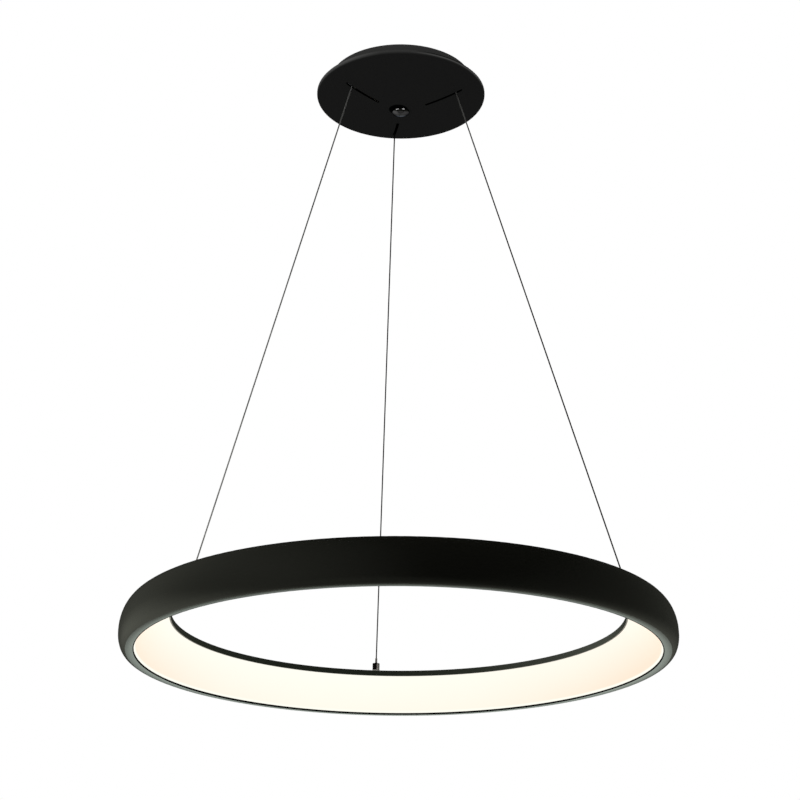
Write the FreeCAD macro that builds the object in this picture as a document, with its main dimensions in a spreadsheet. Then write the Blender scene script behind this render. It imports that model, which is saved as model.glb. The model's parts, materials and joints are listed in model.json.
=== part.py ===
"""LED ring pendant: a ceiling canopy, three suspension wires and a round LED ring, in millimetres.

The origin is the middle of the canopy on the ceiling, and +Z points up, so the whole lamp hangs below it.
"""
import FreeCAD
import Part
import Sketcher
import math
import operator
import os

Vector = FreeCAD.Vector
SHEET = "Sizes"

# Driving dimensions, in millimetres, with degrees and counts below
SIZES = {
    # the ring casing, a spun aluminium channel
    "ring_drop": 724.0,
    "ring_outer_radius": 305.0,
    "ring_height": 50.0,
    "ring_underside_width": 17.5,
    "ring_section_width": 55.5,
    "ring_lip_height": 6.6,
    "ring_belly_height": 16.6,
    "ring_belly_width": 8.2,
    "ring_side_height": 1.8,
    "ring_shoulder_width": 19.0,
    "ring_crown_radius": 152.0,
    "ring_wall": 1.5,
    # the opal diffuser and the lit parts behind it
    "diffuser_wall": 2.0,
    "diffuser_foot": 5.2,
    "diffuser_tab": 4.4,
    "edge_clearance": 0.3,
    "light_gap": 12.0,
    "carrier_wall": 1.5,
    "carrier_flange": 15.0,
    "carrier_headroom": 2.8,
    "board_wall": 1.0,
    "board_width": 12.0,
    "glue_gap": 0.1,
    "chip_size": 3.0,
    "chip_height": 0.8,
    "clip_width": 12.0,
    "clip_wall": 0.6,
    "clip_reach": 5.0,
    "clip_rise": 11.0,
    "carrier_head_radius": 2.8,
    "carrier_head_height": 2.0,
    "ring_lead_radius": 0.9,
    "ring_lead_offset": 11.5,
    "ring_lead_spacing": 2.6,
    "link_width": 5.0,
    "link_wall": 1.6,
    # the suspension points on the ring
    "anchor_setback": 13.0,
    "bush_radius": 3.0,
    "bush_flange_radius": 5.5,
    "bush_flange_wall": 1.5,
    "bush_reach": 3.6,
    "insulator_radius": 4.7,
    "insulator_wall": 0.8,
    "insulator_lift": 0.05,
    "ferrule_radius": 4.3,
    "ferrule_height": 8.4,
    "ferrule_edge": 0.7,
    "ferrule_bore": 2.0,
    "ferrule_roof": 1.2,
    "ball_radius": 2.5,
    "ball_drop": 1.6,
    "sleeve_radius": 1.3,
    "sleeve_length": 8.6,
    "seat_gap": 0.2,
    # the suspension wires
    "wire_radius": 0.75,
    "wire_bend": 8.0,
    "wire_tail": 22.0,
    "wire_end_gap": 0.1,
    # the canopy cover, a spun steel dish
    "canopy_top_radius": 86.7,
    "canopy_top_height": 17.3,
    "canopy_brim_width": 16.0,
    "canopy_rim_rise": 2.8,
    "canopy_rim_fall": 3.5,
    "canopy_rim_edge": 3.4,
    "canopy_rim_bend": 3.6,
    "canopy_brim_bend": 1.0,
    "canopy_dish_depth": 18.0,
    "canopy_wall": 1.2,
    "ceiling_gap": 0.3,
    "slot_inner_radius": 33.0,
    "slot_outer_inset": 5.8,
    "slot_width": 2.4,
    "cover_hole_radius": 6.2,
    "cover_washer_radius": 9.0,
    "cover_washer_wall": 0.8,
    # the dome nut and the stud that carries it
    "dome_radius": 10.4,
    "dome_height": 5.0,
    "dome_edge": 1.7,
    "dome_round": 1.6,
    "collar_radius": 5.9,
    "collar_length": 7.0,
    "stud_radius": 4.0,
    "stud_end": 1.6,
    "thread_clearance": 0.05,
    "stud_nut_radius": 7.2,
    "stud_nut_height": 4.0,
    # the ceiling bracket and the gear tray under it
    "bracket_inset": 5.0,
    "bracket_width": 26.0,
    "bracket_wall": 1.5,
    "bracket_rise": 5.0,
    "bracket_foot": 33.0,
    "ceiling_slot_inset": 17.0,
    "ceiling_slot_length": 14.0,
    "ceiling_slot_radius": 2.6,
    "tray_clearance": 5.5,
    "tray_wall": 1.5,
    "access_radius": 8.5,
    "cable_hole_radius": 8.0,
    "cable_hole_offset": 32.0,
    "grommet_bore": 4.5,
    "grommet_lip": 2.0,
    "grommet_lip_wall": 1.4,
    # the wire grippers
    "gripper_inset": 8.8,
    "gripper_radius": 4.5,
    "gripper_length": 15.0,
    "gripper_thread_radius": 3.0,
    "gripper_thread_length": 5.0,
    "gripper_bore": 1.1,
    "gripper_cavity_radius": 3.4,
    "gripper_cavity_length": 11.0,
    "gripper_nut_height": 2.6,
    "gripper_nut_radius": 5.4,
    "plunger_radius": 3.3,
    "plunger_nose_radius": 2.4,
    "plunger_collar": 2.6,
    "plunger_nose": 7.2,
    "gripper_lip": 1.2,
    "running_gap": 0.08,
    "spring_wire_radius": 0.3,
    "spring_radius": 2.6,
    # the driver and the terminals
    "driver_end_gap": 13.5,
    "driver_width": 40.0,
    "driver_height": 19.0,
    "driver_inset": 38.0,
    "driver_wall": 1.6,
    "driver_lid": 1.6,
    "driver_board_wall": 1.6,
    "driver_board_inset": 1.0,
    "driver_board_rise": 3.0,
    "driver_part_height": 9.0,
    "terminal_length": 26.0,
    "terminal_width": 16.0,
    "terminal_height": 14.0,
    "terminal_x": 36.0,
    "terminal_y": 25.0,
    "earth_x": 40.0,
    "terminal_port_radius": 2.2,
    "terminal_screw_radius": 1.9,
    "terminal_screw_depth": 5.0,
    "earth_head_radius": 4.0,
    "earth_head_height": 2.6,
    "earth_lug_wall": 1.0,
    "earth_lug_length": 11.0,
    "lead_radius": 1.1,
    "lead_bend": 4.0,
    "lead_entry": 3.0,
    "earth_lead_y": 11.0,
    "earth_lead_x": 16.0,
    "earth_lead_drop": 1.3,
    "cut_overrun": 2.0,
}
WIRE_COUNT = 3
WIRE_AZIMUTH = 90.0
BOARD_COUNT = 4
BOARD_ANGLE = 86.0
LINK_ANGLE = 5.6
CHIPS_ON_BOARD = 18
CLIP_COUNT = 6
CARRIER_SCREW_COUNT = 6
HEX_SIDES = 6
TERMINAL_WAYS = 3
SPRING_TURNS = 5


class Size:
    """A length with its number and the formula that gives it from the sheet's cells."""

    def __init__(self, number, formula):
        self.number = number
        self.formula = formula

    def __add__(self, other):
        return combine(self, "+", other)

    def __radd__(self, other):
        return combine(other, "+", self)

    def __sub__(self, other):
        return combine(self, "-", other)

    def __rsub__(self, other):
        return combine(other, "-", self)

    def __mul__(self, other):
        return combine(self, "*", other)

    def __rmul__(self, other):
        return combine(other, "*", self)

    def __truediv__(self, other):
        return combine(self, "/", other)

    def __neg__(self):
        return combine(-1, "*", self)


SIGNS = {"+": operator.add, "-": operator.sub, "*": operator.mul, "/": operator.truediv}


def combine(left, sign, right):
    """Two sizes, or a size and a plain number, joined by a sign."""
    numbers = [x.number if isinstance(x, Size) else x for x in (left, right)]
    formulas = [x.formula if isinstance(x, Size) else f"({x:.9f})" for x in (left, right)]
    return Size(SIGNS[sign](*numbers), f"({formulas[0]} {sign} {formulas[1]})")


def root(size):
    """The square root of a size."""
    return Size(math.sqrt(size.number), f"sqrt({size.formula})")


def number(size):
    """The plain number of a size, or of what is a number already."""
    return size.number if isinstance(size, Size) else float(size)


document = FreeCAD.newDocument("pendant")
sheet = document.addObject("Spreadsheet::Sheet", SHEET)
for row, (alias, value) in enumerate(SIZES.items(), start=1):
    sheet.set(f"A{row}", alias)
    sheet.set(f"B{row}", str(value))
    sheet.setAlias(f"B{row}", alias)
document.recompute()


class Named:
    """Every driving dimension by its name."""


s = Named()
for alias, value in SIZES.items():
    setattr(s, alias, Size(value, f"{SHEET}.{alias}"))

nodes = []


def keep(thing):
    """Adds a finished sub-part to the list that is written out."""
    nodes.append(thing)
    return thing


def bind(thing, field, size):
    """Ties a property to the sheet, or sets it where it is a plain number."""
    if isinstance(size, Size):
        thing.setExpression(field, size.formula)
    else:
        setattr(thing, field, size)


def place(thing, x=0, y=0, z=0, turn=None):
    """Puts a sub-part at a place tied to the sheet, with an optional rotation."""
    at = Vector(number(x), number(y), number(z))
    thing.Placement = FreeCAD.Placement(at, turn or FreeCAD.Rotation())
    for axis, size in (("x", x), ("y", y), ("z", z)):
        if isinstance(size, Size):
            thing.setExpression(f"Placement.Base.{axis}", size.formula)
    return thing


def around(radius, azimuth):
    """The x and y of a point at a radius and an azimuth in degrees."""
    angle = math.radians(azimuth)
    return radius * math.cos(angle), radius * math.sin(angle)


def spread(count, first=0.0):
    """The azimuths of equal shares of a circle."""
    return [first + 360.0 * k / count for k in range(count)]


def hold_point(sketch, item, end, across, up):
    """Fixes one end of an edge at a place tied to the sheet."""
    for kind, size, axis in (("DistanceX", across, -2), ("DistanceY", up, -1)):
        if isinstance(size, Size):
            index = sketch.addConstraint(Sketcher.Constraint(kind, -1, 1, item, end, size.number))
            name = f"{kind[-1]}{item}_{end}"
            sketch.renameConstraint(index, name)
            sketch.setExpression(f"Constraints.{name}", size.formula)
        else:
            sketch.addConstraint(Sketcher.Constraint("PointOnObject", item, end, axis))


def new_sketch(body, name, plane):
    """An empty sketch on one of the body's own origin planes."""
    sketch = body.newObject("Sketcher::SketchObject", name)
    support = [x for x in body.Origin.OriginFeatures if x.Role == plane][0]
    sketch.AttachmentSupport = [(support, "")]
    sketch.MapMode = "FlatFace"
    return sketch


def arc_between(start, end, bend):
    """The arc of a given radius from start to end; a positive radius bulges to the left of the way."""
    chord = end - start
    half = chord.Length / 2
    radius = abs(bend)
    rise = radius - math.sqrt(radius * radius - half * half)
    left = Vector(-chord.y, chord.x, 0).normalize()
    middle = (start + end) / 2 + left * math.copysign(rise, bend)
    return Part.Arc(start, middle, end)


def draw(sketch, corners, closed=True):
    """An outline: each corner is (across, up), or (across, up, radius) where an arc runs on to the next."""
    points = [Vector(number(c[0]), number(c[1]), 0) for c in corners]
    last = len(corners) if closed else len(corners) - 1
    ends = []
    for k in range(last):
        start, end = points[k], points[(k + 1) % len(points)]
        curved = len(corners[k]) > 2
        bend = number(corners[k][2]) if curved else 0
        edge = arc_between(start, end, bend) if curved else Part.LineSegment(start, end)
        item = sketch.addGeometry(edge, False)
        begin = sketch.getPoint(item, 1)
        flipped = begin.distanceToPoint(start) > begin.distanceToPoint(end)
        ends.append((item, 2, 1) if flipped else (item, 1, 2))
    for k, (item, first, second) in enumerate(ends):
        hold_point(sketch, item, first, corners[k][0], corners[k][1])
        if k + 1 < len(ends) or closed:
            following = ends[(k + 1) % len(ends)]
            sketch.addConstraint(Sketcher.Constraint("Coincident", item, second, following[0], following[1]))
        else:
            hold_point(sketch, item, second, corners[k + 1][0], corners[k + 1][1])
        if len(corners[k]) > 2:
            bend = corners[k][2]
            index = sketch.addConstraint(Sketcher.Constraint("Radius", item, abs(number(bend))))
            sketch.renameConstraint(index, f"bend{item}")
            formula = bend.formula if number(bend) > 0 else (-bend).formula
            sketch.setExpression(f"Constraints.bend{item}", formula)
    return sketch


def circle(sketch, across, up, radius):
    """A circle tied to the sheet."""
    at = Vector(number(across), number(up), 0)
    item = sketch.addGeometry(Part.Circle(at, Vector(0, 0, 1), number(radius)), False)
    hold_point(sketch, item, 3, across, up)
    index = sketch.addConstraint(Sketcher.Constraint("Radius", item, number(radius)))
    sketch.renameConstraint(index, f"radius{item}")
    sketch.setExpression(f"Constraints.radius{item}", radius.formula)


def new_body(label):
    """A body of its own for one piece."""
    body = document.addObject("PartDesign::Body", label)
    body.Label = label
    return body


def turned(label, corners, angle=360.0):
    """A piece turned about the Z axis from an outline of radius and height."""
    body = new_body(label)
    sketch = draw(new_sketch(body, f"{label}_outline", "XZ_Plane"), corners)
    turn = body.newObject("PartDesign::Revolution", f"{label}_turned")
    turn.Profile = sketch
    turn.ReferenceAxis = (sketch, ["V_Axis"])
    turn.Angle = angle
    sketch.Visibility = False
    return body


def padded(label, corners, length, plane="XY_Plane"):
    """A piece cut from plate: an outline given a thickness."""
    body = new_body(label)
    sketch = new_sketch(body, f"{label}_outline", plane)
    if isinstance(corners, Size):
        circle(sketch, 0, 0, corners)
    else:
        draw(sketch, corners)
    pad = body.newObject("PartDesign::Pad", f"{label}_pad")
    pad.Profile = sketch
    bind(pad, "Length", length)
    return body


def pocketed(body, name, fill, both_ways=True):
    """Cuts an outline through the body, along its Z axis. fill draws the outline in the new sketch."""
    document.recompute()
    before = body.Shape.Volume
    sketch = new_sketch(body, f"{body.Label}_{name}", "XY_Plane")
    fill(sketch)
    pocket = body.newObject("PartDesign::Pocket", f"{body.Label}_{name}_cut")
    pocket.Profile = sketch
    pocket.Type = "ThroughAll"
    pocket.Midplane = both_ways
    document.recompute()
    if not body.Shape.Volume < before:
        raise RuntimeError(f"{body.Label}: {name} cut nothing")
    return pocket


def patterned(body, feature, count):
    """Repeats a cut around the Z axis."""
    pattern = body.newObject("PartDesign::PolarPattern", f"{feature.Name}_around")
    pattern.Originals = [feature]
    pattern.Axis = (feature.Profile[0], ["N_Axis"])
    pattern.Angle = 360.0
    pattern.Occurrences = count
    body.Tip = pattern
    return pattern


def ready(label, shape, at=None):
    """A piece whose shape is worked out here from the sheet's numbers."""
    thing = document.addObject("Part::Feature", label)
    thing.Label = label
    thing.Shape = shape
    if at is not None:
        thing.Placement = at
    return keep(thing)


def rectangle(x0, x1, y0, y1):
    """The four corners of a rectangle."""
    return [(x0, y0), (x1, y0), (x1, y1), (x0, y1)]


def hexagon(radius):
    """The six corners of a hexagon, by its radius over the corners."""
    half, flat = radius / 2, radius * math.cos(math.pi / HEX_SIDES)
    return [(radius, 0), (half, flat), (-half, flat), (-radius, 0), (-half, -flat), (half, -flat)]


def hex_nut(radius, bore, height):
    """A hexagon nut with its lower face at zero."""
    points = [Vector(number(x), number(y), 0) for x, y in hexagon(radius)]
    blank = Part.Face(Part.makePolygon(points + points[:1])).extrude(Vector(0, 0, number(height)))
    return blank.cut(Part.makeCylinder(number(bore), number(height)))


def tube(points, bend, radius):
    """A round lead along straight runs joined by tangent arcs of one bend radius."""
    edges = []
    start = points[0]
    for here, after in zip(points[1:-1], points[2:]):
        back, ahead = (start - here).normalize(), (after - here).normalize()
        half = back.getAngle(ahead) / 2
        reach = number(bend) / math.tan(half)
        centre = here + (back + ahead).normalize() * (number(bend) / math.sin(half))
        first, second = here + back * reach, here + ahead * reach
        middle = centre + (here - centre).normalize() * number(bend)
        edges += [Part.LineSegment(start, first).toShape(), Part.Arc(first, middle, second).toShape()]
        start = second
    edges.append(Part.LineSegment(start, points[-1]).toShape())
    path = Part.Wire(edges)
    along = points[1] - points[0]
    section = Part.Wire(Part.makeCircle(number(radius), points[0], along))
    return path.makePipe(Part.Face(section))


# Radii that follow the ring's outer edge
rim_radius = s.ring_outer_radius - s.ring_underside_width
lip_radius = s.ring_outer_radius - s.ring_section_width
anchor_radius = lip_radius + s.anchor_setback

# Places that follow the canopy's drum
canopy_rim_radius = s.canopy_top_radius + s.canopy_brim_width
slot_outer_radius = s.canopy_top_radius - s.slot_outer_inset
tray_radius = s.canopy_top_radius - s.canopy_wall - s.tray_clearance
bracket_end = tray_radius - s.bracket_inset
ceiling_slot_x = bracket_end - s.ceiling_slot_inset
gripper_offset = tray_radius - s.gripper_inset
driver_half = gripper_offset * math.cos(math.pi / 2 - math.pi / WIRE_COUNT) - s.driver_end_gap
driver_length = driver_half * 2
driver_offset = tray_radius - s.driver_inset

# Heights of the main levels, all below the ceiling at zero
ring_base = -s.ring_drop
rim_plane = -(s.canopy_top_height + s.canopy_rim_rise)
dish_rim = rim_plane - s.canopy_rim_fall
dish_radius = canopy_rim_radius - s.canopy_rim_edge
cover_base = dish_rim - s.canopy_dish_depth
bridge_top = -s.bracket_rise
tray_top = bridge_top - s.bracket_wall
tray_base = tray_top - s.tray_wall
mouth = tray_base - s.gripper_length - s.plunger_nose + s.plunger_collar + s.gripper_lip
stud_tip = cover_base - s.cover_washer_wall - s.stud_end


def turned_dish(label):
    """The cover: a short drum against the ceiling, a rounded rim and a shallow dish."""
    wall = s.canopy_wall
    chord = dish_radius
    depth = s.canopy_dish_depth
    curve = (chord * chord + depth * depth) / (depth * 2)
    inner_curve = curve - wall
    shift = curve - depth
    hole = s.cover_hole_radius
    outer_drop = root(curve * curve - hole * hole) - shift
    inner_drop = root(inner_curve * inner_curve - hole * hole) - shift
    inner_reach = root(inner_curve * inner_curve - shift * shift)
    top = -s.ceiling_gap
    drum_base = -s.canopy_top_height
    brim = s.canopy_brim_bend
    corners = [
        (hole, dish_rim - outer_drop, -curve),
        (dish_radius, dish_rim, -s.canopy_rim_bend),
        (canopy_rim_radius, rim_plane),
        (canopy_rim_radius, drum_base - brim, -brim),
        (canopy_rim_radius - brim, drum_base),
        (s.canopy_top_radius, drum_base),
        (s.canopy_top_radius, top),
        (s.canopy_top_radius - wall, top),
        (s.canopy_top_radius - wall, drum_base - wall),
        (canopy_rim_radius - wall, drum_base - wall),
        (canopy_rim_radius - wall, rim_plane, s.canopy_rim_bend * 2),
        (inner_reach, dish_rim, inner_curve),
        (hole, dish_rim - inner_drop),
    ]
    return turned(label, corners)


def canopy_cover():
    """The cover with its centre hole and the three radial slots that the wires pass."""
    body = turned_dish("canopy_cover")

    def slot(sketch):
        inner, outer = s.slot_inner_radius, slot_outer_radius
        half = s.slot_width / 2
        draw(sketch, rectangle(-half, half, inner, outer))

    cut = pocketed(body, "slot", slot)
    patterned(body, cut, WIRE_COUNT)
    keep(body)


DOME_ROUND_ACROSS_SHARE = 0.38
DOME_ROUND_UP_SHARE = 0.79


def dome_nut():
    """The low glossy dome nut, with a threaded collar that reaches up through the cover."""
    top = cover_base - s.cover_washer_wall
    radius, height = s.dome_radius, s.dome_height
    crown_reach = radius - s.dome_round * DOME_ROUND_ACROSS_SHARE
    rise = height - s.dome_edge
    crown = (crown_reach * crown_reach + rise * rise) / (rise * 2)
    bore = s.stud_radius + s.thread_clearance
    blind = top - s.stud_end - s.thread_clearance * 4
    corners = [
        (0, top - height, -crown),
        (crown_reach, top - s.dome_edge, -s.dome_round),
        (radius, top - s.dome_edge + s.dome_round * DOME_ROUND_UP_SHARE),
        (radius, top),
        (s.collar_radius, top),
        (s.collar_radius, top + s.collar_length),
        (bore, top + s.collar_length),
        (bore, blind),
        (0, blind),
    ]
    keep(turned("dome_nut", corners))


def ring_of(label, inner, outer, low, high):
    """A plain ring, such as a washer."""
    return turned(label, [(inner, low), (outer, low), (outer, high), (inner, high)])


def cover_washer():
    """The nylon washer between the dome nut and the cover."""
    inner = s.collar_radius + s.thread_clearance * 2
    keep(ring_of("cover_washer", inner, s.cover_washer_radius, cover_base - s.cover_washer_wall, cover_base))


def centre_stud():
    """The threaded stud that holds bracket, tray and cover together."""
    chamfer = s.thread_clearance * 10
    radius, top = s.stud_radius, bridge_top + s.stud_nut_height + s.ceiling_gap
    corners = [
        (0, stud_tip),
        (radius - chamfer, stud_tip),
        (radius, stud_tip + chamfer),
        (radius, top),
        (0, top),
    ]
    keep(turned("centre_stud", corners))


def stud_nuts():
    """Two hexagon nuts that clamp the tray to the bracket."""
    bore = s.stud_radius + s.thread_clearance
    nut = hex_nut(s.stud_nut_radius, bore, s.stud_nut_height)
    upper = nut.translated(Vector(0, 0, number(bridge_top)))
    lower = nut.translated(Vector(0, 0, number(tray_base - s.stud_nut_height)))
    ready("stud_nuts", Part.makeCompound([upper, lower]))


def ceiling_bracket():
    """The hat-shaped strip that is screwed to the ceiling through its two slots."""
    end, bridge, wall = bracket_end, bracket_end - s.bracket_foot, s.bracket_wall
    low = -s.bracket_rise - wall
    slant = bridge + s.bracket_rise
    right = [(end, 0), (slant, 0), (bridge, -s.bracket_rise)]
    left = [(-x, y) for x, y in reversed(right)]
    under_left = [(-end, -wall), (-(slant + wall), -wall), (-(bridge + wall), low)]
    under_right = [(-x, y) for x, y in reversed(under_left)]
    body = padded("ceiling_bracket", right + left + under_left + under_right, s.bracket_width, "XZ_Plane")
    middle = -s.bracket_width / 2

    def holes(sketch):
        circle(sketch, 0, middle, s.stud_radius + s.thread_clearance * 2)
        reach, radius = s.ceiling_slot_length / 2, s.ceiling_slot_radius
        for side in (-1, 1):
            centre = ceiling_slot_x * side
            low_x, high_x = centre - reach + radius, centre + reach - radius
            corners = [
                (low_x, middle - radius),
                (high_x, middle - radius, -radius),
                (high_x, middle + radius),
                (low_x, middle + radius, -radius),
            ]
            draw(sketch, corners)

    pocketed(body, "holes", holes)
    keep(place(body, y=s.bracket_width / 2))


def gear_tray():
    """The round plate under the bracket that carries the grippers, the driver and the terminals."""
    body = padded("gear_tray", tray_radius, s.tray_wall)

    def holes(sketch):
        circle(sketch, 0, 0, s.stud_radius + s.thread_clearance * 2)
        circle(sketch, 0, s.cable_hole_offset, s.cable_hole_radius)
        for side in (-1, 1):
            circle(sketch, ceiling_slot_x * side, 0, s.access_radius)
        for azimuth in spread(WIRE_COUNT, WIRE_AZIMUTH):
            x, y = around(gripper_offset, azimuth)
            x = 0 if abs(number(x)) < number(s.thread_clearance) else x
            circle(sketch, x, y, s.gripper_thread_radius + s.thread_clearance * 2)

    pocketed(body, "holes", holes)
    keep(place(body, z=tray_base))


def cable_grommet():
    """The rubber grommet that lines the mains cable's hole in the tray."""
    lip, neck = s.cable_hole_radius + s.grommet_lip, s.cable_hole_radius - s.thread_clearance * 2
    low, high = -s.grommet_lip_wall, s.tray_wall + s.grommet_lip_wall
    corners = [
        (s.grommet_bore, low),
        (lip, low),
        (lip, 0),
        (neck, 0),
        (neck, s.tray_wall),
        (lip, s.tray_wall),
        (lip, high),
        (s.grommet_bore, high),
    ]
    keep(place(turned("cable_grommet", corners), y=s.cable_hole_offset, z=tray_base))


def wire_gripper(index, azimuth):
    """One height adjuster: body, sprung plunger and spring, hung under the tray by its thread."""
    x, y = around(gripper_offset, azimuth)
    thread_top = s.tray_wall + s.gripper_thread_length
    radius, cavity = s.gripper_radius, s.gripper_cavity_radius
    low = -s.gripper_length
    cavity_top = low + s.gripper_lip + s.gripper_cavity_length
    nose_hole = s.plunger_nose_radius + s.running_gap
    corners = [
        (s.gripper_bore, cavity_top),
        (cavity, cavity_top),
        (cavity, low + s.gripper_lip),
        (nose_hole, low + s.gripper_lip),
        (nose_hole, low),
        (radius, low),
        (radius, 0),
        (s.gripper_thread_radius, 0),
        (s.gripper_thread_radius, thread_top),
        (s.gripper_bore, thread_top),
    ]
    keep(place(turned(f"gripper_body_{index}", corners), x, y, tray_base))
    seat = low + s.gripper_lip
    collar_top = seat + s.plunger_collar
    nose_tip = collar_top - s.plunger_nose
    flare = s.plunger_nose_radius - s.running_gap * 4
    corners = [
        (s.gripper_bore, seat),
        (flare, nose_tip),
        (s.plunger_nose_radius, nose_tip),
        (s.plunger_nose_radius, seat),
        (s.plunger_radius, seat),
        (s.plunger_radius, collar_top),
        (s.gripper_bore, collar_top),
    ]
    keep(place(turned(f"gripper_plunger_{index}", corners), x, y, tray_base))
    coil_radius, coil_wire = number(s.spring_radius), number(s.spring_wire_radius)
    height = number(cavity_top - collar_top) - 2 * coil_wire
    helix = Part.makeHelix(height / SPRING_TURNS, height, coil_radius)
    section = Part.Wire(Part.makeCircle(coil_wire, Vector(coil_radius, 0, 0), Vector(0, 1, 0)))
    coil = Part.Wire(helix).makePipeShell([section], True, True)
    base = Vector(number(x), number(y), number(tray_base + collar_top) + coil_wire)
    ready(f"gripper_spring_{index}", coil, FreeCAD.Placement(base, FreeCAD.Rotation()))


def gripper_nuts():
    """The nuts that hold the grippers on the tray."""
    nut = hex_nut(s.gripper_nut_radius, s.gripper_thread_radius + s.thread_clearance, s.gripper_nut_height)
    nuts = []
    for azimuth in spread(WIRE_COUNT, WIRE_AZIMUTH):
        x, y = around(gripper_offset, azimuth)
        nuts.append(nut.translated(Vector(number(x), number(y), number(tray_top))))
    ready("gripper_nuts", Part.makeCompound(nuts))


# The crowned top of the ring falls towards the middle, and what stands on it leans with it
crown_centre = s.ring_height - s.ring_crown_radius
crown_edge = s.ring_outer_radius - s.ring_shoulder_width


def crown_height(radius, crown):
    """Height of the crowned top over the ring's base at a radius, for a crown of a given arc."""
    run = crown_edge - radius
    return crown_centre + root(crown * crown - run * run)


anchor_lean = math.degrees(math.asin(number(crown_edge - anchor_radius) / number(s.ring_crown_radius)))
anchor_height = crown_height(anchor_radius, s.ring_crown_radius)


def anchor_place(azimuth, lift=0):
    """The place of an anchor on the ring's top, leaning with the crown, lifted along its own axis."""
    lean = FreeCAD.Rotation(Vector(0, 0, 1), azimuth) * FreeCAD.Rotation(Vector(0, 1, 0), -anchor_lean)
    x, y = around(anchor_radius, azimuth)
    at = Vector(number(x), number(y), number(ring_base + anchor_height))
    return FreeCAD.Placement(at + lean.multVec(Vector(0, 0, number(lift))), lean)


def casing_outline():
    """The casing's section as edges: quarter ellipses for belly and shoulder, an arc for the crown."""
    wall = number(s.ring_wall)
    outer, height = number(s.ring_outer_radius), number(s.ring_height)
    rim, lip = number(rim_radius), number(lip_radius)
    belly = Vector(outer - number(s.ring_belly_width), 0, number(s.ring_belly_height))
    shoulder = Vector(number(crown_edge), 0, number(s.ring_belly_height + s.ring_side_height))

    def quarter(centre, across, up, inset, upward):
        a, b = across - inset, up - inset
        points = []
        for step in range(3):
            angle = math.radians(45.0 * step) * (1 if upward else -1)
            points.append(centre + Vector(a * math.cos(angle), 0, b * math.sin(angle)))
        long_way, short_way = Vector(1, 0, 0), Vector(0, 0, 1)
        if b > a:
            long_way, short_way = short_way, long_way
        ellipse = Part.Ellipse(centre + long_way * max(a, b), centre + short_way * min(a, b), centre)
        first, last = ellipse.parameter(points[0]), ellipse.parameter(points[2])
        middle = ellipse.parameter(points[1])
        low, high = min(first, last), max(first, last)
        if not low < middle < high:
            low, high = high, low + 2 * math.pi
        return Part.ArcOfEllipse(ellipse, low, high).toShape()

    def crown(inset, radius):
        arc = number(s.ring_crown_radius) - inset
        centre = Vector(number(crown_edge), 0, number(crown_centre))
        run = number(crown_edge) - radius
        end = Vector(radius, 0, centre.z + math.sqrt(arc * arc - run * run))
        half = run / 2
        middle = Vector(number(crown_edge) - half, 0, centre.z + math.sqrt(arc * arc - half * half))
        return Part.Arc(Vector(centre.x, 0, centre.z + arc), middle, end).toShape(), end

    def line(x0, z0, x1, z1):
        return Part.LineSegment(Vector(x0, 0, z0), Vector(x1, 0, z1)).toShape()

    outer_crown, lip_top = crown(0, lip)
    inner_crown, inner_top = crown(wall, lip + wall)
    lip_base = lip_top.z - number(s.ring_lip_height)
    edges = [
        line(rim, 0, belly.x, 0),
        quarter(belly, number(s.ring_belly_width), number(s.ring_belly_height), 0, False),
        line(outer, belly.z, outer, shoulder.z),
        quarter(shoulder, number(s.ring_shoulder_width), height - shoulder.z, 0, True),
        outer_crown,
        line(lip, lip_top.z, lip, lip_base),
        line(lip, lip_base, lip + wall, lip_base),
        line(lip + wall, lip_base, lip + wall, inner_top.z),
        inner_crown,
        quarter(shoulder, number(s.ring_shoulder_width), height - shoulder.z, wall, True),
        line(outer - wall, shoulder.z, outer - wall, belly.z),
        quarter(belly, number(s.ring_belly_width), number(s.ring_belly_height), wall, False),
        line(belly.x, wall, rim, wall),
        line(rim, wall, rim, 0),
    ]
    return Part.Wire(Part.__sortEdges__(edges))


lip_top_height = crown_height(lip_radius, s.ring_crown_radius)
lip_base_height = lip_top_height - s.ring_lip_height


def ring_casing():
    """The ring's casing, turned from its section, with the three holes for the anchor bushes."""
    section = Part.Face(casing_outline())
    shape = section.revolve(Vector(0, 0, 0), Vector(0, 0, 1), 360)
    shape.translate(Vector(0, 0, number(ring_base)))
    hole = number(s.bush_radius + s.thread_clearance * 2)
    depth = number(s.ring_wall + s.cut_overrun)
    for azimuth in spread(WIRE_COUNT, WIRE_AZIMUTH):
        drill = Part.makeCylinder(hole, 2 * depth, Vector(0, 0, -depth))
        drill.Placement = anchor_place(azimuth)
        shape = shape.cut(drill)
    ready("ring_casing", shape)


# The diffuser's lit face is a cone from the rim's wall up to the lip
foot = (rim_radius + s.edge_clearance, s.ring_wall + s.edge_clearance)
head = (lip_radius + s.ring_wall + s.edge_clearance, lip_base_height + s.edge_clearance)
cone_run = foot[0] - head[0]
cone_rise = head[1] - foot[1]
cone_length = root(cone_run * cone_run + cone_rise * cone_rise)


def behind(along_share, depth):
    """A point at a share of the way from foot to head, and a depth behind the diffuser's lit face."""
    across = foot[0] - cone_run * along_share + cone_rise * depth / cone_length
    up = foot[1] + cone_rise * along_share + cone_run * depth / cone_length
    return across, up


def diffuser():
    """The opal cone, with a foot that rests on the rim and a tab behind the lip."""
    wall = s.diffuser_wall
    sideways = wall * cone_length / cone_rise
    upright = wall * cone_length / cone_run
    corners = [
        foot,
        (foot[0] + s.diffuser_foot, foot[1]),
        (foot[0] + s.diffuser_foot, foot[1] + wall),
        (foot[0] - wall * cone_run / cone_rise + sideways, foot[1] + wall),
        (head[0] + wall, head[1] + upright - wall * cone_rise / cone_run),
        (head[0] + wall, head[1] + s.diffuser_tab),
        (head[0], head[1] + s.diffuser_tab),
        head,
    ]
    keep(place(turned("diffuser", corners), z=ring_base))


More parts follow.
